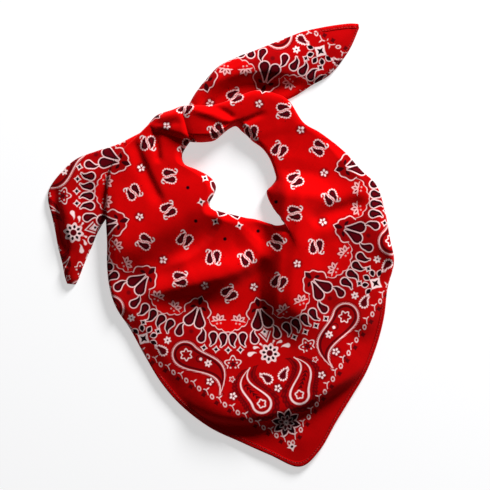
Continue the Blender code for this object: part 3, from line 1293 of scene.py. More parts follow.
    def lens(self, point: Signal, start: float, end: float, half: float) -> Signal:
        """Distance outside a pointed petal along the first axis.

        Args:
            point: The point in the petal's frame.
            start: Where the petal starts.
            end: Where it ends.
            half: Half its width.

        Returns:
            The distance, below 0 inside.
        """
        along, across = point.split()
        share = along.scaled(2 / (end - start), -(end + start) / (end - start))
        return abs(across) - (share * share).scaled(-half, half)

    def spike(self, point: Signal, tip: float, waist: float = 0.7) -> Signal:
        """Distance outside a four-pointed star with hollow sides.

        Args:
            point: The point in the star's frame.
            tip: From its middle to a tip.
            waist: How hollow the sides are; 0 is a plain diamond.

        Returns:
            The distance, below 0 inside.
        """
        along, across = self.vector("ABSOLUTE", point).split()
        sunk = along.least(across).scaled(waist, -self.HOLLOW * tip)
        return (along + across).scaled(self.HOLLOW, sunk)

    def noise(self, point: Signal, cells: tuple[float, float, float]) -> Signal:
        """Soft noise.

        Args:
            point: The point, in metres.
            cells: How many cells to the metre there are on each axis.

        Returns:
            The noise, from 0 to 1.
        """
        node = self.node("ShaderNodeTexNoise")
        stretched = self.vector("MULTIPLY", point, cells)
        self.wire(node, {"Vector": stretched, "Scale": 1.0, "Detail": 2.0})
        return Signal(self, node.outputs[0])


Value = Signal | float | tuple[float, ...]


@dataclass
class Effect:
    """A node group with named inputs and outputs.

    Attributes:
        name: The group's name.
        inputs: The type of each input.
        outputs: The type of each output.
        tree: The group's nodes.
        pen: What writes in it.
    """

    name: str
    inputs: Mapping[str, Socket]
    outputs: Mapping[str, Socket]
    tree: bpy.types.NodeTree = field(init=False)
    pen: Pen = field(init=False)

    def __post_init__(self) -> None:
        """Makes the group and its sockets."""
        self.tree = bpy.data.node_groups.new(self.name, "ShaderNodeTree")
        for side, sockets in (("INPUT", self.inputs), ("OUTPUT", self.outputs)):
            for name, kind in sockets.items():
                self.tree.interface.new_socket(name, in_out=side, socket_type=kind.value)
        self.pen = Pen(self.tree)

    def entry(self) -> dict[str, Signal]:
        """What comes into the group, by name."""
        node = self.pen.node("NodeGroupInput")
        return {name: Signal(self.pen, node.outputs[name]) for name in self.inputs}

    def leave(self, results: Mapping[str, Signal]) -> None:
        """Sends results out of the group, by name."""
        self.pen.wire(self.pen.node("NodeGroupOutput"), results)


@dataclass
class Ink:
    """One colour of the print, with a mask that grows as motifs are drawn.

    Attributes:
        pen: What draws it.
        dye: Its colour, in linear light.
        mask: Where it lies, once something is drawn.
    """

    pen: Pen
    dye: tuple[float, float, float]
    mask: Signal | None = None

    def draw(self, mask: Signal, share: Signal | float = 1.0) -> None:
        """Adds a mask, or a share of it.

        Args:
            mask: Where the ink goes.
            share: How much of it, from 0 to 1.
        """
        if share != 1.0:
            mask = mask * share
        self.mask = mask if self.mask is None else self.mask.most(mask)

    def fill(self, shape: Signal, grow: float = 0.0, share: Signal | float = 1.0) -> None:
        """Fills a shape, grown by a margin."""
        self.draw(self.pen.filled(shape, grow), share)

    def line(self, shape: Signal, width: float, share: Signal | float = 1.0) -> None:
        """Draws a line of a given width along a shape's edge."""
        self.draw(self.pen.lined(shape, width), share)

    def clear(self, mask: Signal) -> None:
        """Takes the ink away under a mask."""
        self.mask = self.pen.maths("SUBTRACT", self.mask, mask, clamp=True)


@dataclass(frozen=True)
class Dyes:
    """The print's colours, in linear light.

    Attributes:
        ground: The cloth.
        shade: The darker red behind the border's motifs.
        wine: The fills of the teardrops and petals.
        black: The darkest fills.
        white: The light outlines.
    """

    ground: tuple[float, float, float] = (0.62, 0.0, 0.0005)
    shade: tuple[float, float, float] = (0.26, 0.0, 0.001)
    wine: tuple[float, float, float] = (0.1, 0.0, 0.003)
    black: tuple[float, float, float] = (0.009, 0.0, 0.002)
    white: tuple[float, float, float] = (0.96, 0.7, 0.7)


@dataclass
class PaisleyPrint:
    """A traditional paisley square: rings of small motifs, a scalloped border and corner paisleys.

    The frame of the print has its first axis towards the shown corner, and its unit is 1.2 mm.
    Centres, turns in degrees and sizes of the motifs are given in that frame.

    Attributes:
        name: The node group's name.
        centre: The middle of the square on the flat cloth, in metres.
        turn: The direction of the shown corner, in degrees.
        unit: The print's unit, in metres.
        dyes: Its colours.
        pen: What draws it.
        shade: The ink behind the border's motifs.
        wine: The ink of the fills.
        black: The darkest ink.
        white: The ink of the outlines.
    """

    name: str = "paisley print"
    centre: tuple[float, float] = (0.0132, 0.0605)
    turn: float = -76.6
    unit: float = 0.0012
    dyes: Dyes = field(default_factory=Dyes)
    pen: Pen = field(init=False)
    shade: Ink = field(init=False)
    wine: Ink = field(init=False)
    black: Ink = field(init=False)
    white: Ink = field(init=False)

    def build(self) -> bpy.types.NodeTree:
        """Draws the print into a node group.

        Returns:
            The group: a point of the flat cloth in, and the colour and the cover of ink out.
        """
        outputs = {"Color": Socket.COLOR, "Ink": Socket.NUMBER}
        effect = Effect(self.name, {"Flat Cloth": Socket.VECTOR}, outputs)
        self.pen = effect.pen
        self.shade, self.wine = Ink(self.pen, self.dyes.shade), Ink(self.pen, self.dyes.wine)
        self.black, self.white = Ink(self.pen, self.dyes.black), Ink(self.pen, self.dyes.white)
        flat = effect.entry()["Flat Cloth"]
        point = self.pen.placed(flat, self.centre, self.turn, self.unit)
        self._centre(point)
        self._rings(point)
        twelfth, corner = self.pen.folded(point, 12), self.pen.folded(point, 4)
        for draw in (self._crowns, self._border_drops):
            draw(twelfth)
        for draw in (
            self._corner_flowers,
            self._hearts,
            self._great_paisley,
            self._small_motifs,
            self._side_fan,
            self._chain,
        ):
            draw(corner)
        colour: Value = (*self.dyes.ground, 1.0)
        for ink in (self.shade, self.wine, self.black, self.white):
            colour = self.pen.mixed(ink.mask, colour, (*ink.dye, 1.0))
        effect.leave({"Color": colour, "Ink": self.white.mask.most(self.black.mask)})
        return effect.tree

    def _centre(self, point: Signal) -> None:
        """The rosette at the middle: petals, hollow diamonds and dots.

        Args:
            point: The point in the print's frame.
        """
        pen = self.pen
        eighth = pen.folded(point, 8)
        petal = pen.lens(eighth, 9.5, 25.0, 5.6)
        self.wine.fill(petal)
        self.white.line(petal, 1.3)
        self._diamond(eighth, (31.5, 0.0), 4.2)
        self.black.fill(pen.circle(pen.folded(point, 8, 22.5), (44.5, 0.0), 1.75))

    def _diamond(self, point: Signal, at: tuple[float, float], tip: float) -> None:
        """A white four-pointed diamond with a dark middle.

        Args:
            point: The point.
            at: The diamond's centre.
            tip: From the centre to a tip.
        """
        local = self.pen.placed(point, at)
        hole = local.length() - 1.35
        self.black.fill(hole, 0.3)
        self.white.fill(self.pen.spike(local, tip).most(-hole))

    def _rings(self, point: Signal) -> None:
        """Two rings of paisley pairs, and a ring of small flowers between them.

        Args:
            point: The point in the print's frame.
        """
        self._pairs(point, 65.0, 0.0, 24.0)
        self._pairs(point, 98.5, 15.0, -47.0)
        self._flower(self.pen.placed(self.pen.folded(point, 12), (94.5, 0.0), 9.0))

    def _pairs(self, point: Signal, radius: float, phase: float, turn: float) -> None:
        """A ring of twelve pairs of paisleys that lie head to tail.

        Args:
            point: The point in the print's frame.
            radius: The ring's radius.
            phase: The direction of the first pair, in degrees.
            turn: How far a pair is turned from pointing outwards, in degrees.
        """
        pen = self.pen
        pair = pen.placed(pen.sector(point, 12, phase), (radius, 0.0), turn)
        half = pen.times(pair, pen.maths("SIGN", pair.split()[1]))
        local = pen.placed(half, (-2.5, 3.9), -12.0)
        body = pen.drop(local, 2.55, 8.4, 0.7)
        hook = pen.circle(half, (6.3, 4.4), 1.7)
        top = half.split()[0].over(5.9)
        self.wine.fill(body)
        self.black.line(body.scaled(1.0, 0.2), 1.2)
        self.black.line(hook, 2.4, top * 0.6)
        self._toothed(local, body - 1.25, (1.0, 12.0, 0.32), 0.5)
        self.white.line(hook - 0.3, 1.0, top)
        self.black.fill(pen.circle(half, (0.6, 10.4), 0.55), share=0.6)

    def _toothed(
        self, local: Signal, edge: Signal, teeth: tuple[float, float, float], grow: float
    ) -> None:
        """A white outline with teeth.

        Args:
            local: The point in the motif's frame.
            edge: The distance from the outline.
            teeth: How far ahead they spread from, how many go round, and their depth.
            grow: Half the outline's width.
        """
        ahead, aside = local.split()
        start, count, depth = teeth
        wave = (self.pen.maths("ARCTAN2", aside, ahead - start) * count).sine()
        self.white.fill(abs(edge).scaled(1.0, wave * -depth), grow)

    def _flower(self, local: Signal, petal: float = 0.98) -> None:
        """A five-petalled flower on a dark spot.

        Args:
            local: The point in the flower's frame.
            petal: Half the width of a petal.
        """
        fifth = self.pen.folded(local, 5)
        self.black.fill(local.length() * 0.3, 1.5, 0.6)
        self.white.fill(self.pen.lens(fifth, 0.9, 4.0, petal))

    def _crowns(self, twelfth: Signal) -> None:
        """Twelve crowns with two hanging drops, and the scalloped line that joins them.

        Args:
            twelfth: The point, folded into a half of a twelfth.
        """
        pen = self.pen
        angle, radius = twelfth.degrees(), twelfth.length()
        scallop = abs((angle * (math.pi / 3.05)).sine()).scaled(1.6)
        climb = angle.ramp(5.8, 15.0) ** 0.45
        edge = radius - climb.scaled(13.0, scallop + 123.4)
        outside = pen.filled(edge * -0.35)
        self.shade.draw(outside * pen.filled(radius.scaled(0.22, -151 * 0.22)), 0.75)
        self.shade.draw(outside, 0.48)
        self.white.line(edge, 0.8, angle.over(5.86) * 0.85)
        self.black.line(edge - 1.6, 1.2, angle.over(6.6) * 0.35)
        shell = pen.placed(twelfth, (122.0, 0.0), 180.0)
        ahead, beside = shell.split()
        bearing = pen.maths("ARCTAN2", abs(beside), ahead)
        leaf = bearing.scaled(-17.0, 4.4).most(0.0)
        outline = shell.length() - (bearing * 7.0).cosine().scaled(-0.8, leaf + 13.0)
        self.shade.fill(outline, share=0.8)
        self.white.line(outline, 0.85, bearing.under(1.85))
        self.black.line(outline - 1.5, 1.1, bearing.under(1.85) * 0.4)
        self.black.fill(pen.lens(twelfth, 105.6, 115.2, 2.2), share=0.9)
        side_leaf = pen.placed(twelfth, (117.4, 5.6), 62.0)
        self.black.fill(pen.lens(side_leaf, -3.0, 3.0, 1.5), share=0.9)
        self._fruit(pen.placed(twelfth, (132.0, 5.6), 196.0), 4.5, 14.0, 0.4)
        self.black.fill(pen.circle(twelfth, (142.0, 0.0), 2.2) * 0.5, share=0.55)
        self._sprig(pen.placed(twelfth, (127.2 * 0.983, 127.2 * 0.184), 203.0))

    def _fruit(
        self,
        local: Signal,
        radius: float,
        length: float,
        bend: float,
        where: Signal | float = 1.0,
        rim: float = 0.85,
    ) -> None:
        """A teardrop with a light outline, a dark rim and a wine-red heart.

        Args:
            local: The point in the drop's frame.
            radius: The bulb's radius.
            length: From the bulb's centre to the tip.
            bend: How far the tail sways to the side.
            where: 1 where it may be drawn.
            rim: How dark the rim is, from 0 to 1.
        """
        body = self.pen.drop(local, radius, length, bend)
        self.wine.fill(body, share=where)
        self.black.line(body.scaled(1.0, 0.4), 1.6, where * rim)
        self.white.line(body - 1.0, 0.85, where)

    def _sprig(self, local: Signal) -> None:
        """A pale sprig of three spotted leaves that fan out from two buds.

        Args:
            local: The point in the sprig's frame.
        """
        pen = self.pen
        fan = pen.folded(local, 8)
        leaf = pen.lens(fan, 0.9, 8.2, 1.9)
        front = local.split()[0].over(0.5)
        spot = pen.filled(pen.lens(fan, 2.6, 6.0, 0.7)) * front * 0.8
        self.black.line(leaf - 1.2, 1.0, front * 0.4)
        self.white.fill(leaf, share=front * 0.62)
        self.white.fill(pen.circle(pen.folded(local, 4, 45.0), (2.6, 0.0), 0.8), share=0.55)
        self.black.draw(spot)
        self.white.clear(spot)

    def _border_drops(self, twelfth: Signal) -> None:
        """The teardrops that hang between the crowns, four degrees apart.

        Args:
            twelfth: The point, folded into a half of a twelfth.
        """
        pen = self.pen
        between_crowns = twelfth.degrees().over(7.0)
        local = pen.placed(pen.sector(twelfth, 90, 9.0), (142.0, 0.0), -8.0)
        self._fruit(local, 3.4, 9.6, 1.6, between_crowns, 1.0)
        beside_crown = pen.placed(twelfth, (146.5 * 0.9969, 146.5 * 0.0785), 190.0)
        self._fruit(beside_crown, 3.3, 9.6, -1.4)

    def _corner_flowers(self, corner: Signal) -> None:
        """The flowers, commas and leaf on the line from the middle to a corner.

        Args:
            corner: The point, folded into a half of a quarter.
        """
        pen = self.pen
        bloom = pen.placed(corner, (162.5, 0.0))
        petals = pen.lobed(bloom, 8, 9.0, 1.2, 180.0)
        seed = pen.lens(pen.folded(bloom, 8, 22.5), 3.8, 7.9, 1.4)
        heart = bloom.length() - 3.2
        self.black.fill(seed, 0.1)
        self.wine.fill(heart)
        groove = pen.lined(petals + 1.3, 0.5).scaled(-0.5, 1.0)
        self.white.fill(petals.most(-heart).most(-seed), share=groove)
        dark = pen.placed(corner, (234.0, 0.0))
        ray = pen.folded(dark, 8, 22.5)
        long_petal = pen.lens(ray, 1.5, 14.2, 3.2)
        eye = dark.length() - 2.4
        self.wine.fill(long_petal)
        self.black.fill(pen.lens(ray, 4.0, 13.0, 2.0))
        self.black.line(long_petal - 1.6, 1.2, 0.45)
        self.white.line(long_petal - 0.3, 0.95, 0.9)
        self.white.line(pen.lens(ray, 1.0, 8.0, 1.9), 0.9, 0.45)
        self.black.fill(eye)
        self.white.line(eye, 0.9, 0.55)
        self._diamond(corner, (258.7, 0.0), 5.0)
        along, across = corner.split()
        vee = along.scaled(0.62, across.scaled(1.0, -150.6 * 0.62))
        span = along.over(141.0) * pen.filled(across, 7.2)
        self.white.line(vee, 1.1, span)
        self.white.line(vee + 3.0, 0.9, span)
        for at, turn, length, radius in (
            ((159.0, 19.6), 272.0, 7.0, 2.2),
            ((153.6, 13.4), 292.0, 5.0, 1.5),
            ((151.4, 7.0), 340.0, 3.4, 1.0),
        ):
            self.white.fill(pen.drop(pen.placed(corner, at, turn), radius, length, -0.8))

    def _hearts(self, corner: Signal) -> None:
        """Two leaning paisleys that make a heart, ringed with dark beads.

        Args:
            corner: The point, folded into a half of a quarter.
        """
        pen, length, bend = self.pen, 37.0, -9.4
        local = pen.placed(corner, (209.1, 19.3), 174.7)
        body = pen.paisley(local, 9.3, length, bend, 1.6)
        ahead, aside = local.split()
        share, spine = pen.swayed(local, length, bend)
        blunt = ahead.under(length + 0.5)
        bearing = pen.maths("ARCTAN2", aside + 5.0, ahead - 14.0)
        beads = (bearing * 34.0).sine().scaled(0.5, 0.5)
        ring = abs(body - 6.2)
        holes = (pen.filled(ring, 0.9) * beads).scaled(-0.75, 1.0)
        self.shade.fill(abs(body - 4.4) * 0.3, 1.1, blunt * 0.8)
        self.black.fill(beads.scaled(-0.9, ring), 2.0, holes * blunt * 0.62)
        self.black.line(body + 2.3, 1.0, 0.45)
        self.white.fill(share.scaled(0.45, abs(body)), 0.95)
        fern = ((ahead + abs(spine)) * 1.7).sine().scaled(1.3, 1.5)
        self.black.fill(abs(spine) - fern, share=ahead.over(6.0) * ahead.under(23.0) * 0.8)
        self.white.line(pen.lobed(local, 5, 3.7, 0.5), 1.35)
        self._spiky(pen.placed(corner, (187.4, 7.4), 134.0), 3.3)
        self._diamond(corner, (140.5, 0.0), 4.4)

    def _spiky(self, local: Signal, radius: float) -> None:
        """A small wine-red paisley with a toothed outline.

        Args:
            local: The point in the paisley's frame.
            radius: Its bulb's radius.
        """
        body = self.pen.drop(local, radius, 8.6, 0.8)
        self.wine.fill(body)
        self._toothed(local, body - 0.9, (1.5, 14.0, 0.42), 0.68)

    def _great_paisley(self, corner: Signal) -> None:
        """The long toothed paisley beside each corner, with its star, comma and flower.

        Args:
            corner: The point, folded into a half of a quarter.
        """
        pen = self.pen
        local = pen.placed(corner, (144.0, 82.4), -28.3)
        body = pen.paisley(local, 12.4, 52.5, -13.0, 1.95)
        ahead, aside = local.split()
        hatch = ((ahead + abs(aside)) * 3.2).sine()
        self.shade.fill(body, share=0.8)
        self.black.line(body + 2.6, 1.9, 0.75)
        self.white.line(body, 0.9)
        self.white.line(body - 1.0, 1.0, hatch.over(0.0) * 0.5)
        self.black.line(body - 2.4, 1.2, 0.4)
        star = pen.placed(corner, (144.6, 81.4), 10.0)
        self.white.line(pen.lobed(star, 6, 4.9, 0.95), 1.3)
        self.white.fill(pen.circle(corner, (152.2, 68.3), 1.5))
        self.black.line(pen.circle(corner, (151.6, 69.6), 3.0), 1.1, 0.7)

    def _small_motifs(self, corner: Signal) -> None:
        """The flowers, tulip, stars, spiky paisley and diamonds round the great paisleys.

        Args:
            corner: The point, folded into a half of a quarter.
        """
        pen = self.pen
        _, across = corner.split()
        second, third = across.over(22.0), across.over(55.0)
        along = second.scaled(-2.7, third.scaled(-19.3, 198.0))
        centre = pen.joined(along, second.scaled(45.3, third * 19.2))
        self._flower(pen.vector("SUBTRACT", corner, centre), 1.1)
        outer = across.over(80.0)
        centre = pen.joined(outer.scaled(-31.8, 158.0), outer.scaled(34.2, 62.0))
        daisy = pen.vector("SUBTRACT", corner, centre)
        eye = daisy.length() - 0.9
        self.black.fill(eye, 0.2)
        self.white.fill(pen.lobed(daisy, 6, 3.2, 0.7).most(-eye))
        self._spiky(pen.placed(corner, (136.0, 103.0), 137.0), 3.2)
        self._tulip(pen.placed(corner, (164.5, 38.2), 12.0))
        small_star = pen.placed(corner, (178.9, 42.6))
        self.white.line(pen.lobed(small_star, 5, 2.1, 0.6), 0.9, 0.8)
        angle = corner.degrees()
        local = pen.placed(pen.sector(corner, 80, 10.3), (155.0, 0.0))
        keep = angle.near(17.0, 8.8).most(angle.near(41.5, 2.2))
        hole = pen.spike(local, 2.3, 0.2)
        self.black.fill(hole, 0.3, keep)
        self.white.fill(pen.spike(local, 3.9, 0.35).most(-hole), share=keep)
        dark_star = pen.placed(corner, (184.0, 71.5), 20.0)
        self.black.fill(pen.spike(dark_star, 3.6, 1.5), share=0.7)

    def _tulip(self, local: Signal) -> None:
        """A tulip with a wine-red heart and five dots, on a darker spot.

        Args:
            local: The point in the tulip's frame.
        """
        pen = self.pen
        self.shade.fill(local.length() * 0.4, 2.6, 0.6)
        open_side = local.split()[0].under(4.2)
        self.white.line(pen.lobed(local, 5, 6.9, 1.5, 180.0), 1.1, open_side)
        self.wine.fill(pen.lobed(local, 5, 2.4, 0.9, 180.0))
        self.white.fill(pen.circle(pen.folded(local, 5, 36.0), (4.3, 0.0), 0.85), share=0.8)

    def _side_fan(self, corner: Signal) -> None:
        """The black and white fan at the middle of each side.

        Args:
            corner: The point, folded into a half of a quarter.
        """
        pen = self.pen
        local = pen.placed(corner, (119.2, 119.2), 225.0)
        core = pen.spike(local, 4.4, 1.0)
        self.black.fill(core)
        self.white.fill(pen.spike(local, 7.2, 0.2).most(-core))
        blade = pen.lens(pen.folded(local, 9), 7.4, 14.2, 2.2)
        front = local.split()[0].over(0.0)
        self.black.fill(blade, share=front)
        self.white.line(blade - 0.5, 0.9, front)
        self.wine.line(local.length() - 7.0, 1.0, front)

    def _chain(self, corner: Signal) -> None:
        """The chain of loops, strokes and small stars along the sides.

        Args:
            corner: The point, folded into a half of a quarter.
        """
        pen, pitch = self.pen, 15.1
        outward, beside = pen.placed(corner, (0.0, 0.0), 45.0).split()
        step = pen.maths("WRAP", beside * (1 / pitch), 0.5, -0.5) * pitch
        link = pen.joined(outward, step)
        keep = outward.over(172.0) * abs(beside).under(181.0)
        squashed = pen.vector("MULTIPLY", pen.placed(link, (181.6, 2.2), 35.0), (1.0, 0.72, 0.0))
        self.white.line(squashed.length() - 1.5, 0.8, keep)
        wave = (step * (math.tau / pitch)).sine().scaled(-1.9, outward) - 181.0
        self.white.line(wave, 0.75, keep * step.near(2.2, 3.9).scaled(-1.0, 1.0))
        barb = pen.lens(pen.placed(link, (179.3, -4.4), 200.0), 0.0, 4.2, 0.5)
        self.white.fill(barb, share=keep)
        star = pen.spike(pen.placed(link, (184.4, -4.9), 45.0), 3.0, 0.3)
        self.black.fill(star, share=keep * 0.75)


@dataclass(frozen=True)
class CottonWeave:
    """The relief of the plain weave and of the sewn hem, how evenly the cloth took the dye, and
    painted shade along the seam's groove.

    Attributes:
        name: The node group's name.
        turn: The direction of the warp, along one side of the square, in degrees.
        pitch: From one thread to the next, in metres.
        thread: Height of the threads' relief, in millimetres.
        hem: Width of the turned hem, in metres.
        hem_step: Over how far the hem's inner edge steps down, in metres.
        hem_height: How far the turned hem stands up, in millimetres.
        seam: From the edge to the row of stitches, in metres.
        seam_width: Half-width of the seam's groove, in metres.
        seam_depth: Its depth, in millimetres.
        seam_painted_shade: Painted shade: how much darker the seam's groove is painted.
        pucker: Height of the hem's puckers, in millimetres.
        pucker_cells: Puckers to the metre.
        slub: How much the thicker threads change the depth of dye.
        slub_cells: Slubs to the metre, along a thread and across it.
        patch: How much the dye varies from place to place.
        patch_cells: Patches to the metre.
    """

    name: str = "cotton weave"
    turn: float = -31.6
    pitch: float = 0.00055
    thread: float = 0.03
    hem: float = 0.0064
    hem_step: float = 0.0009
    hem_height: float = 0.55
    seam: float = 0.0048
    seam_width: float = 0.001
    seam_depth: float = 0.3
    # painted shade: how much darker the seam's groove is painted
    seam_painted_shade: float = 0.18
    pucker: float = 0.7
    pucker_cells: float = 260.0
    slub: float = 0.16
    slub_cells: tuple[float, float] = (45.0, 900.0)
    patch: float = 0.14
    patch_cells: float = 38.0

    def build(self) -> bpy.types.NodeTree:
        """Makes the node group.

        Returns:
            The group: the flat cloth and the distance from the hem in; out the height, and the
                depth of dye darkened along the seam's groove as painted shade.
        """
        inputs = {"Flat Cloth": Socket.VECTOR, "Hem Distance": Socket.NUMBER}
        outputs = {"Height": Socket.NUMBER, "Dye And Painted Groove Shade": Socket.NUMBER}
        effect = Effect(self.name, inputs, outputs)
        pen, entry = effect.pen, effect.entry()
        distance = entry["Hem Distance"]
        cloth = pen.placed(entry["Flat Cloth"], (0.0, 0.0), self.turn)
        warp, weft = (side * (math.pi / self.pitch) for side in cloth.split())
        half_step = self.hem_step / 2
        turned = distance.ramp(self.hem + half_step, self.hem - half_step)
        groove = abs(distance - self.seam).ramp(self.seam_width, 0.0)
        pucker = pen.noise(cloth, (self.pucker_cells, self.pucker_cells, 1.0)) * turned
        height = (warp.sine() * weft.sine()).scaled(self.thread, turned * self.hem_height)
        height = groove.scaled(-self.seam_depth, pucker.scaled(self.pucker, height))
        long, short = self.slub_cells
        slub = pen.noise(cloth, (long, short, 1.0)) + pen.noise(cloth, (short, long, 1.0))
        patch = pen.noise(cloth, (self.patch_cells, self.patch_cells, 1.0))
        depth = slub.scaled(self.slub, 1 - self.slub)
        depth = depth + patch.scaled(self.patch, -self.patch / 2)
        # painted shade: the seam's groove darkens the dye's own variation
        effect.leave({"Height": height, "Dye And Painted Groove Shade": groove.scaled(-self.seam_painted_shade, depth)})
        return effect.tree


@dataclass
class Finish:
    """A material that is being made, with its shader.

    Attributes:
        name: The material's name.
        material: The material.
        pen: What writes its nodes.
        shader: Its Principled shader.
    """

    name: str
    material: bpy.types.Material = field(init=False)
    pen: Pen = field(init=False)
    shader: bpy.types.Node = field(init=False)

    def __post_init__(self) -> None:
        """Makes the material."""
        self.material = bpy.data.materials.new(self.name)
        self.material.use_nodes = True
        self.pen = Pen(self.material.node_tree)
        self.shader = self.material.node_tree.nodes["Principled BSDF"]

    def feed(self, inputs: Mapping[str, Value]) -> bpy.types.Material:
        """Connects or sets some of the shader's inputs.

        Args:
            inputs: A signal, number or colour for the name of each.

        Returns:
            The material.
        """
        self.pen.wire(self.shader, inputs)
        return self.material


@dataclass(frozen=True)
class Cotton:
    """A finish of the printed cotton.

    Attributes:
        name: The material's name.
        fade: How far the print's colours move towards the pale reverse, from 0 to 1.
        pale: The colour of the cloth where the print hardly shows through.
        roughness: The bare cloth's roughness.
        smoothing: How much less rough the printed ink is.
        gloss: How much light the cloth mirrors.
        fuzz: How much light its loose fibres catch.
        fuzz_roughness: How widely they scatter it.
    """

    name: str
    fade: float = 0.0
    pale: tuple[float, float, float] = (0.47, 0.045, 0.05)
    roughness: float = 0.92
    smoothing: float = 0.08
    gloss: float = 0.02
    fuzz: float = 0.03
    fuzz_roughness: float = 0.5

    def build(
        self, print_group: bpy.types.NodeTree, weave_group: bpy.types.NodeTree
    ) -> bpy.types.Material:
        """Makes the material.

        Args:
            print_group: The print's node group.
            weave_group: The weave's and hem's node group.

        Returns:
            The material.
        """
        finish = Finish(self.name)
        pen = finish.pen
        flat = Signal(pen, pen.node("ShaderNodeUVMap", uv_map=CLOTH_MAP).outputs["UV"])
        hem = Signal(pen, pen.node("ShaderNodeAttribute", attribute_name=HEM_MAP).outputs["Fac"])
        drawn = pen.node("ShaderNodeGroup", node_tree=print_group)
        woven = pen.node("ShaderNodeGroup", node_tree=weave_group)
        pen.wire(drawn, {"Flat Cloth": flat})
        pen.wire(woven, {"Flat Cloth": flat, "Hem Distance": hem})
        # the depth of dye, with painted shade darkening the seam's groove
        depth = Signal(pen, woven.outputs["Dye And Painted Groove Shade"])
        colour = pen.times(Signal(pen, drawn.outputs["Color"]), depth)
        if self.fade:
            colour = pen.mixed(self.fade, colour, (*self.pale, 1.0))
        relief = pen.node("ShaderNodeBump")
        pen.wire(relief, {"Distance": MM, "Height": Signal(pen, woven.outputs["Height"])})
        ink = Signal(pen, drawn.outputs["Ink"])
        return finish.feed(
            {
                "Base Color": colour,
                "Roughness": ink.scaled(-self.smoothing, self.roughness),
                "Normal": Signal(pen, relief.outputs["Normal"]),
                "Specular IOR Level": self.gloss,
                "Sheen Weight": self.fuzz,
                "Sheen Roughness": self.fuzz_roughness,
            }
        )


@dataclass(frozen=True)
class Thread:
    """The sewing thread's finish.

    Attributes:
        name: The material's name.
        dark: The colour between the thread's plies.
        light: The colour of its plies.
        cells: Plies to the metre.
        spread: The values of noise at which the colour is all dark and all light.
        roughness: Its roughness.
    """

    name: str = "sewing thread"
    dark: tuple[float, float, float] = (0.3, 0.0, 0.004)
    light: tuple[float, float, float] = (0.72, 0.03, 0.03)
    cells: float = 2600.0
    spread: tuple[float, float] = (0.3, 0.6)
    roughness: float = 0.6

    def build(self) -> bpy.types.Material:
        """Makes the material.

        Returns:
            The material.
        """
        finish = Finish(self.name)
        pen = finish.pen
        place = Signal(pen, pen.node("ShaderNodeTexCoord").outputs["Object"])
        plies = pen.node("ShaderNodeTexNoise")
        pen.wire(plies, {"Vector": place, "Scale": self.cells})
        share = Signal(pen, plies.outputs[0]).ramp(*self.spread)
        colour = pen.mixed(share, (*self.dark, 1.0), (*self.light, 1.0))
        return finish.feed({"Base Color": colour, "Roughness": self.roughness})


@dataclass(frozen=True)
class Finishes:
    """The materials of the bandana.

    Attributes:
        face: The cloth's printed side.
        reverse: Its other side.
        thread: The stitches.
    """

    face: bpy.types.Material
    reverse: bpy.types.Material
    thread: bpy.types.Material


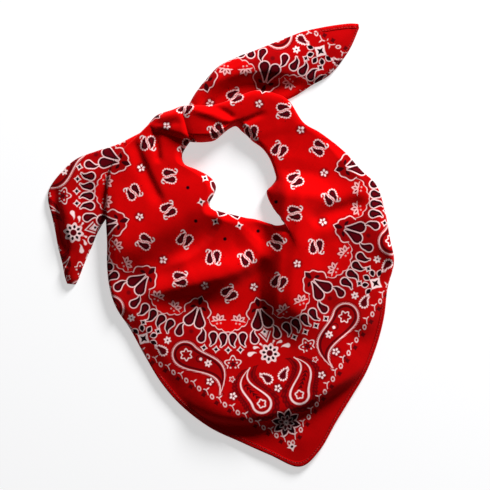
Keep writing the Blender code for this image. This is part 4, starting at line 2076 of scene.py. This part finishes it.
@dataclass(frozen=True)
class Studio:
    """The floor, lights and camera.

    Attributes:
        centre: The point of the floor under the camera, in metres.
        frame: Width of what the camera sees at the cloth, in metres.
        cloth: Height of the cloth that the frame is measured at, in metres.
        lens: The camera's lens, in millimetres.
        sensor: Width of its sensor, in millimetres.
        clip: The nearest and the farthest that it sees, in metres.
        floor_half: Half the floor's width, in metres.
        floor_color: Its colour.
        floor_roughness: Its roughness.
        floor_glow: How much light it gives of its own, as a lit table does.
        key_azimuth: Where the key light comes from, in degrees from +X.
        key_elevation: How high it stands, in degrees.
        key_distance: How far away it is, in metres.
        key_size: The width of its disc, in metres.
        key_power: Its power, in watts.
        fill: Strength of the light from all round.
    """

    centre: tuple[float, float] = (0.0288, 0.0005)
    frame: float = 0.588
    cloth: float = 0.006
    lens: float = 150.0
    sensor: float = 36.0
    clip: tuple[float, float] = (0.05, 20.0)
    floor_half: float = 3.0
    floor_color: tuple[float, float, float] = (0.55, 0.55, 0.56)
    floor_roughness: float = 0.95
    floor_glow: float = 0.54
    key_azimuth: float = 60.0
    key_elevation: float = 20.0
    key_distance: float = 4.0
    key_size: float = 1.2
    key_power: float = 360.0
    fill: float = 0.085

    def build(self) -> None:
        """Makes the floor, the key light, the fill and the camera."""
        self._floor()
        self._key()
        self._world()
        self._camera()

    def _floor(self) -> None:
        """Makes the pale floor."""
        mesh = bmesh.new()
        bmesh.ops.create_grid(mesh, x_segments=8, y_segments=8, size=self.floor_half)
        data = bpy.data.meshes.new("floor")
        mesh.to_mesh(data)
        mesh.free()
        floor = bpy.data.objects.new("floor", data)
        bpy.context.scene.collection.objects.link(floor)
        data.materials.append(
            Finish("pale floor").feed(
                {
                    "Base Color": (*self.floor_color, 1.0),
                    "Roughness": self.floor_roughness,
                    "Specular IOR Level": 0.0,
                    "Emission Color": (1.0, 1.0, 1.0, 1.0),
                    "Emission Strength": self.floor_glow,
                }
            )
        )

    def _key(self) -> None:
        """Makes the soft key light."""
        lamp = bpy.data.lights.new("key", "AREA")
        lamp.shape = "DISK"
        lamp.size = self.key_size
        lamp.energy = self.key_power
        light = bpy.data.objects.new("key", lamp)
        azimuth, elevation = math.radians(self.key_azimuth), math.radians(self.key_elevation)
        level = math.cos(elevation)
        east, north = math.cos(azimuth) * level, math.sin(azimuth) * level
        towards = Vector((east, north, math.sin(elevation)))
        light.location = towards * self.key_distance
        light.rotation_mode = "QUATERNION"
        light.rotation_quaternion = towards.to_track_quat("Z", "Y")
        bpy.context.scene.collection.objects.link(light)

    def _world(self) -> None:
        """Makes the fill from all round."""
        world = bpy.data.worlds.new("studio")
        world.use_nodes = True
        background = world.node_tree.nodes["Background"]
        background.inputs["Color"].default_value = (1.0, 1.0, 1.0, 1.0)
        background.inputs["Strength"].default_value = self.fill
        bpy.context.scene.world = world

    def _camera(self) -> None:
        """Makes the camera, straight above the cloth."""
        data = bpy.data.cameras.new("camera")
        data.sensor_width = self.sensor
        data.sensor_fit = "HORIZONTAL"
        data.lens = self.lens
        data.clip_start, data.clip_end = self.clip
        camera = bpy.data.objects.new("camera", data)
        camera.location = (*self.centre, self.frame / self.sensor * self.lens + self.cloth)
        bpy.context.scene.collection.objects.link(camera)
        bpy.context.scene.camera = camera
        bpy.context.scene.view_settings.view_transform = "Standard"


def main() -> None:
    """Builds the bandana, its print and its studio, in order."""
    logging.basicConfig(level=logging.INFO, format="%(message)s")
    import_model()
    groups = PaisleyPrint().build(), CottonWeave().build()
    finishes = Finishes(
        face=Cotton("printed cotton, face").build(*groups),
        reverse=Cotton("printed cotton, reverse", fade=0.6).build(*groups),
        thread=Thread().build(),
    )
    under = Under(
        name="band_under",
        sections=BAND,
        folds=(),
        nodes=("left_arm_back", "back_panel", "right_arm_back"),
        slot=Slot.REVERSE,
        pitch=4.5,
    )
    left_tail = Tail(
        name="left_tail_cloth",
        sections=LEFT_TAIL,
        folds=LEFT_TAIL_FOLDS,
        nodes=("left_tail",),
        pitch=2.0,
    )
    right_tail = Tail(
        name="right_tail_cloth",
        sections=RIGHT_TAIL,
        folds=RIGHT_TAIL_FOLDS,
        nodes=("right_tail",),
        stitching=(
            Stitching("tail_stitches_near", Side.NECK, 8.6, 12.7),
            Stitching("tail_stitches_far", Side.FAR, 8.6, 12.7),
        ),
        pitch=2.0,
        hem_begins=(8.0, 9.5),
    )
    band = Band(
        name="band",
        sections=BAND,
        folds=BAND_FOLDS,
        nodes=("left_arm", "front_panel", "right_arm", "roll"),
        rests_on=(under.name, left_tail.name, right_tail.name),
        stitching=(Stitching("hem_stitches", Side.FAR, 12.7, 24.7),),
        floor=3.9,
    )
    wrap = Wrap(
        name="knot_wrap_cloth",
        sections=WRAP,
        folds=WRAP_FOLDS,
        nodes=("knot_wrap",),
        rests_on=(band.name,),
        pitch=1.6,
    )
    for stretch in (under, left_tail, right_tail, band, wrap):
        piece = stretch.dress(finishes)
        width, length, area = stretch.cut(piece)
        faces = len(piece.data.polygons)
        LOG.info("%s: %d faces, cut %.3f x %.3f m, %.4f m2", piece.name, faces, width, length, area)
        for row in stretch.stitching:
            LOG.info("%s: sewn along %s", row.name, piece.name)
    Studio().build()


if __name__ == "__main__":
    main()
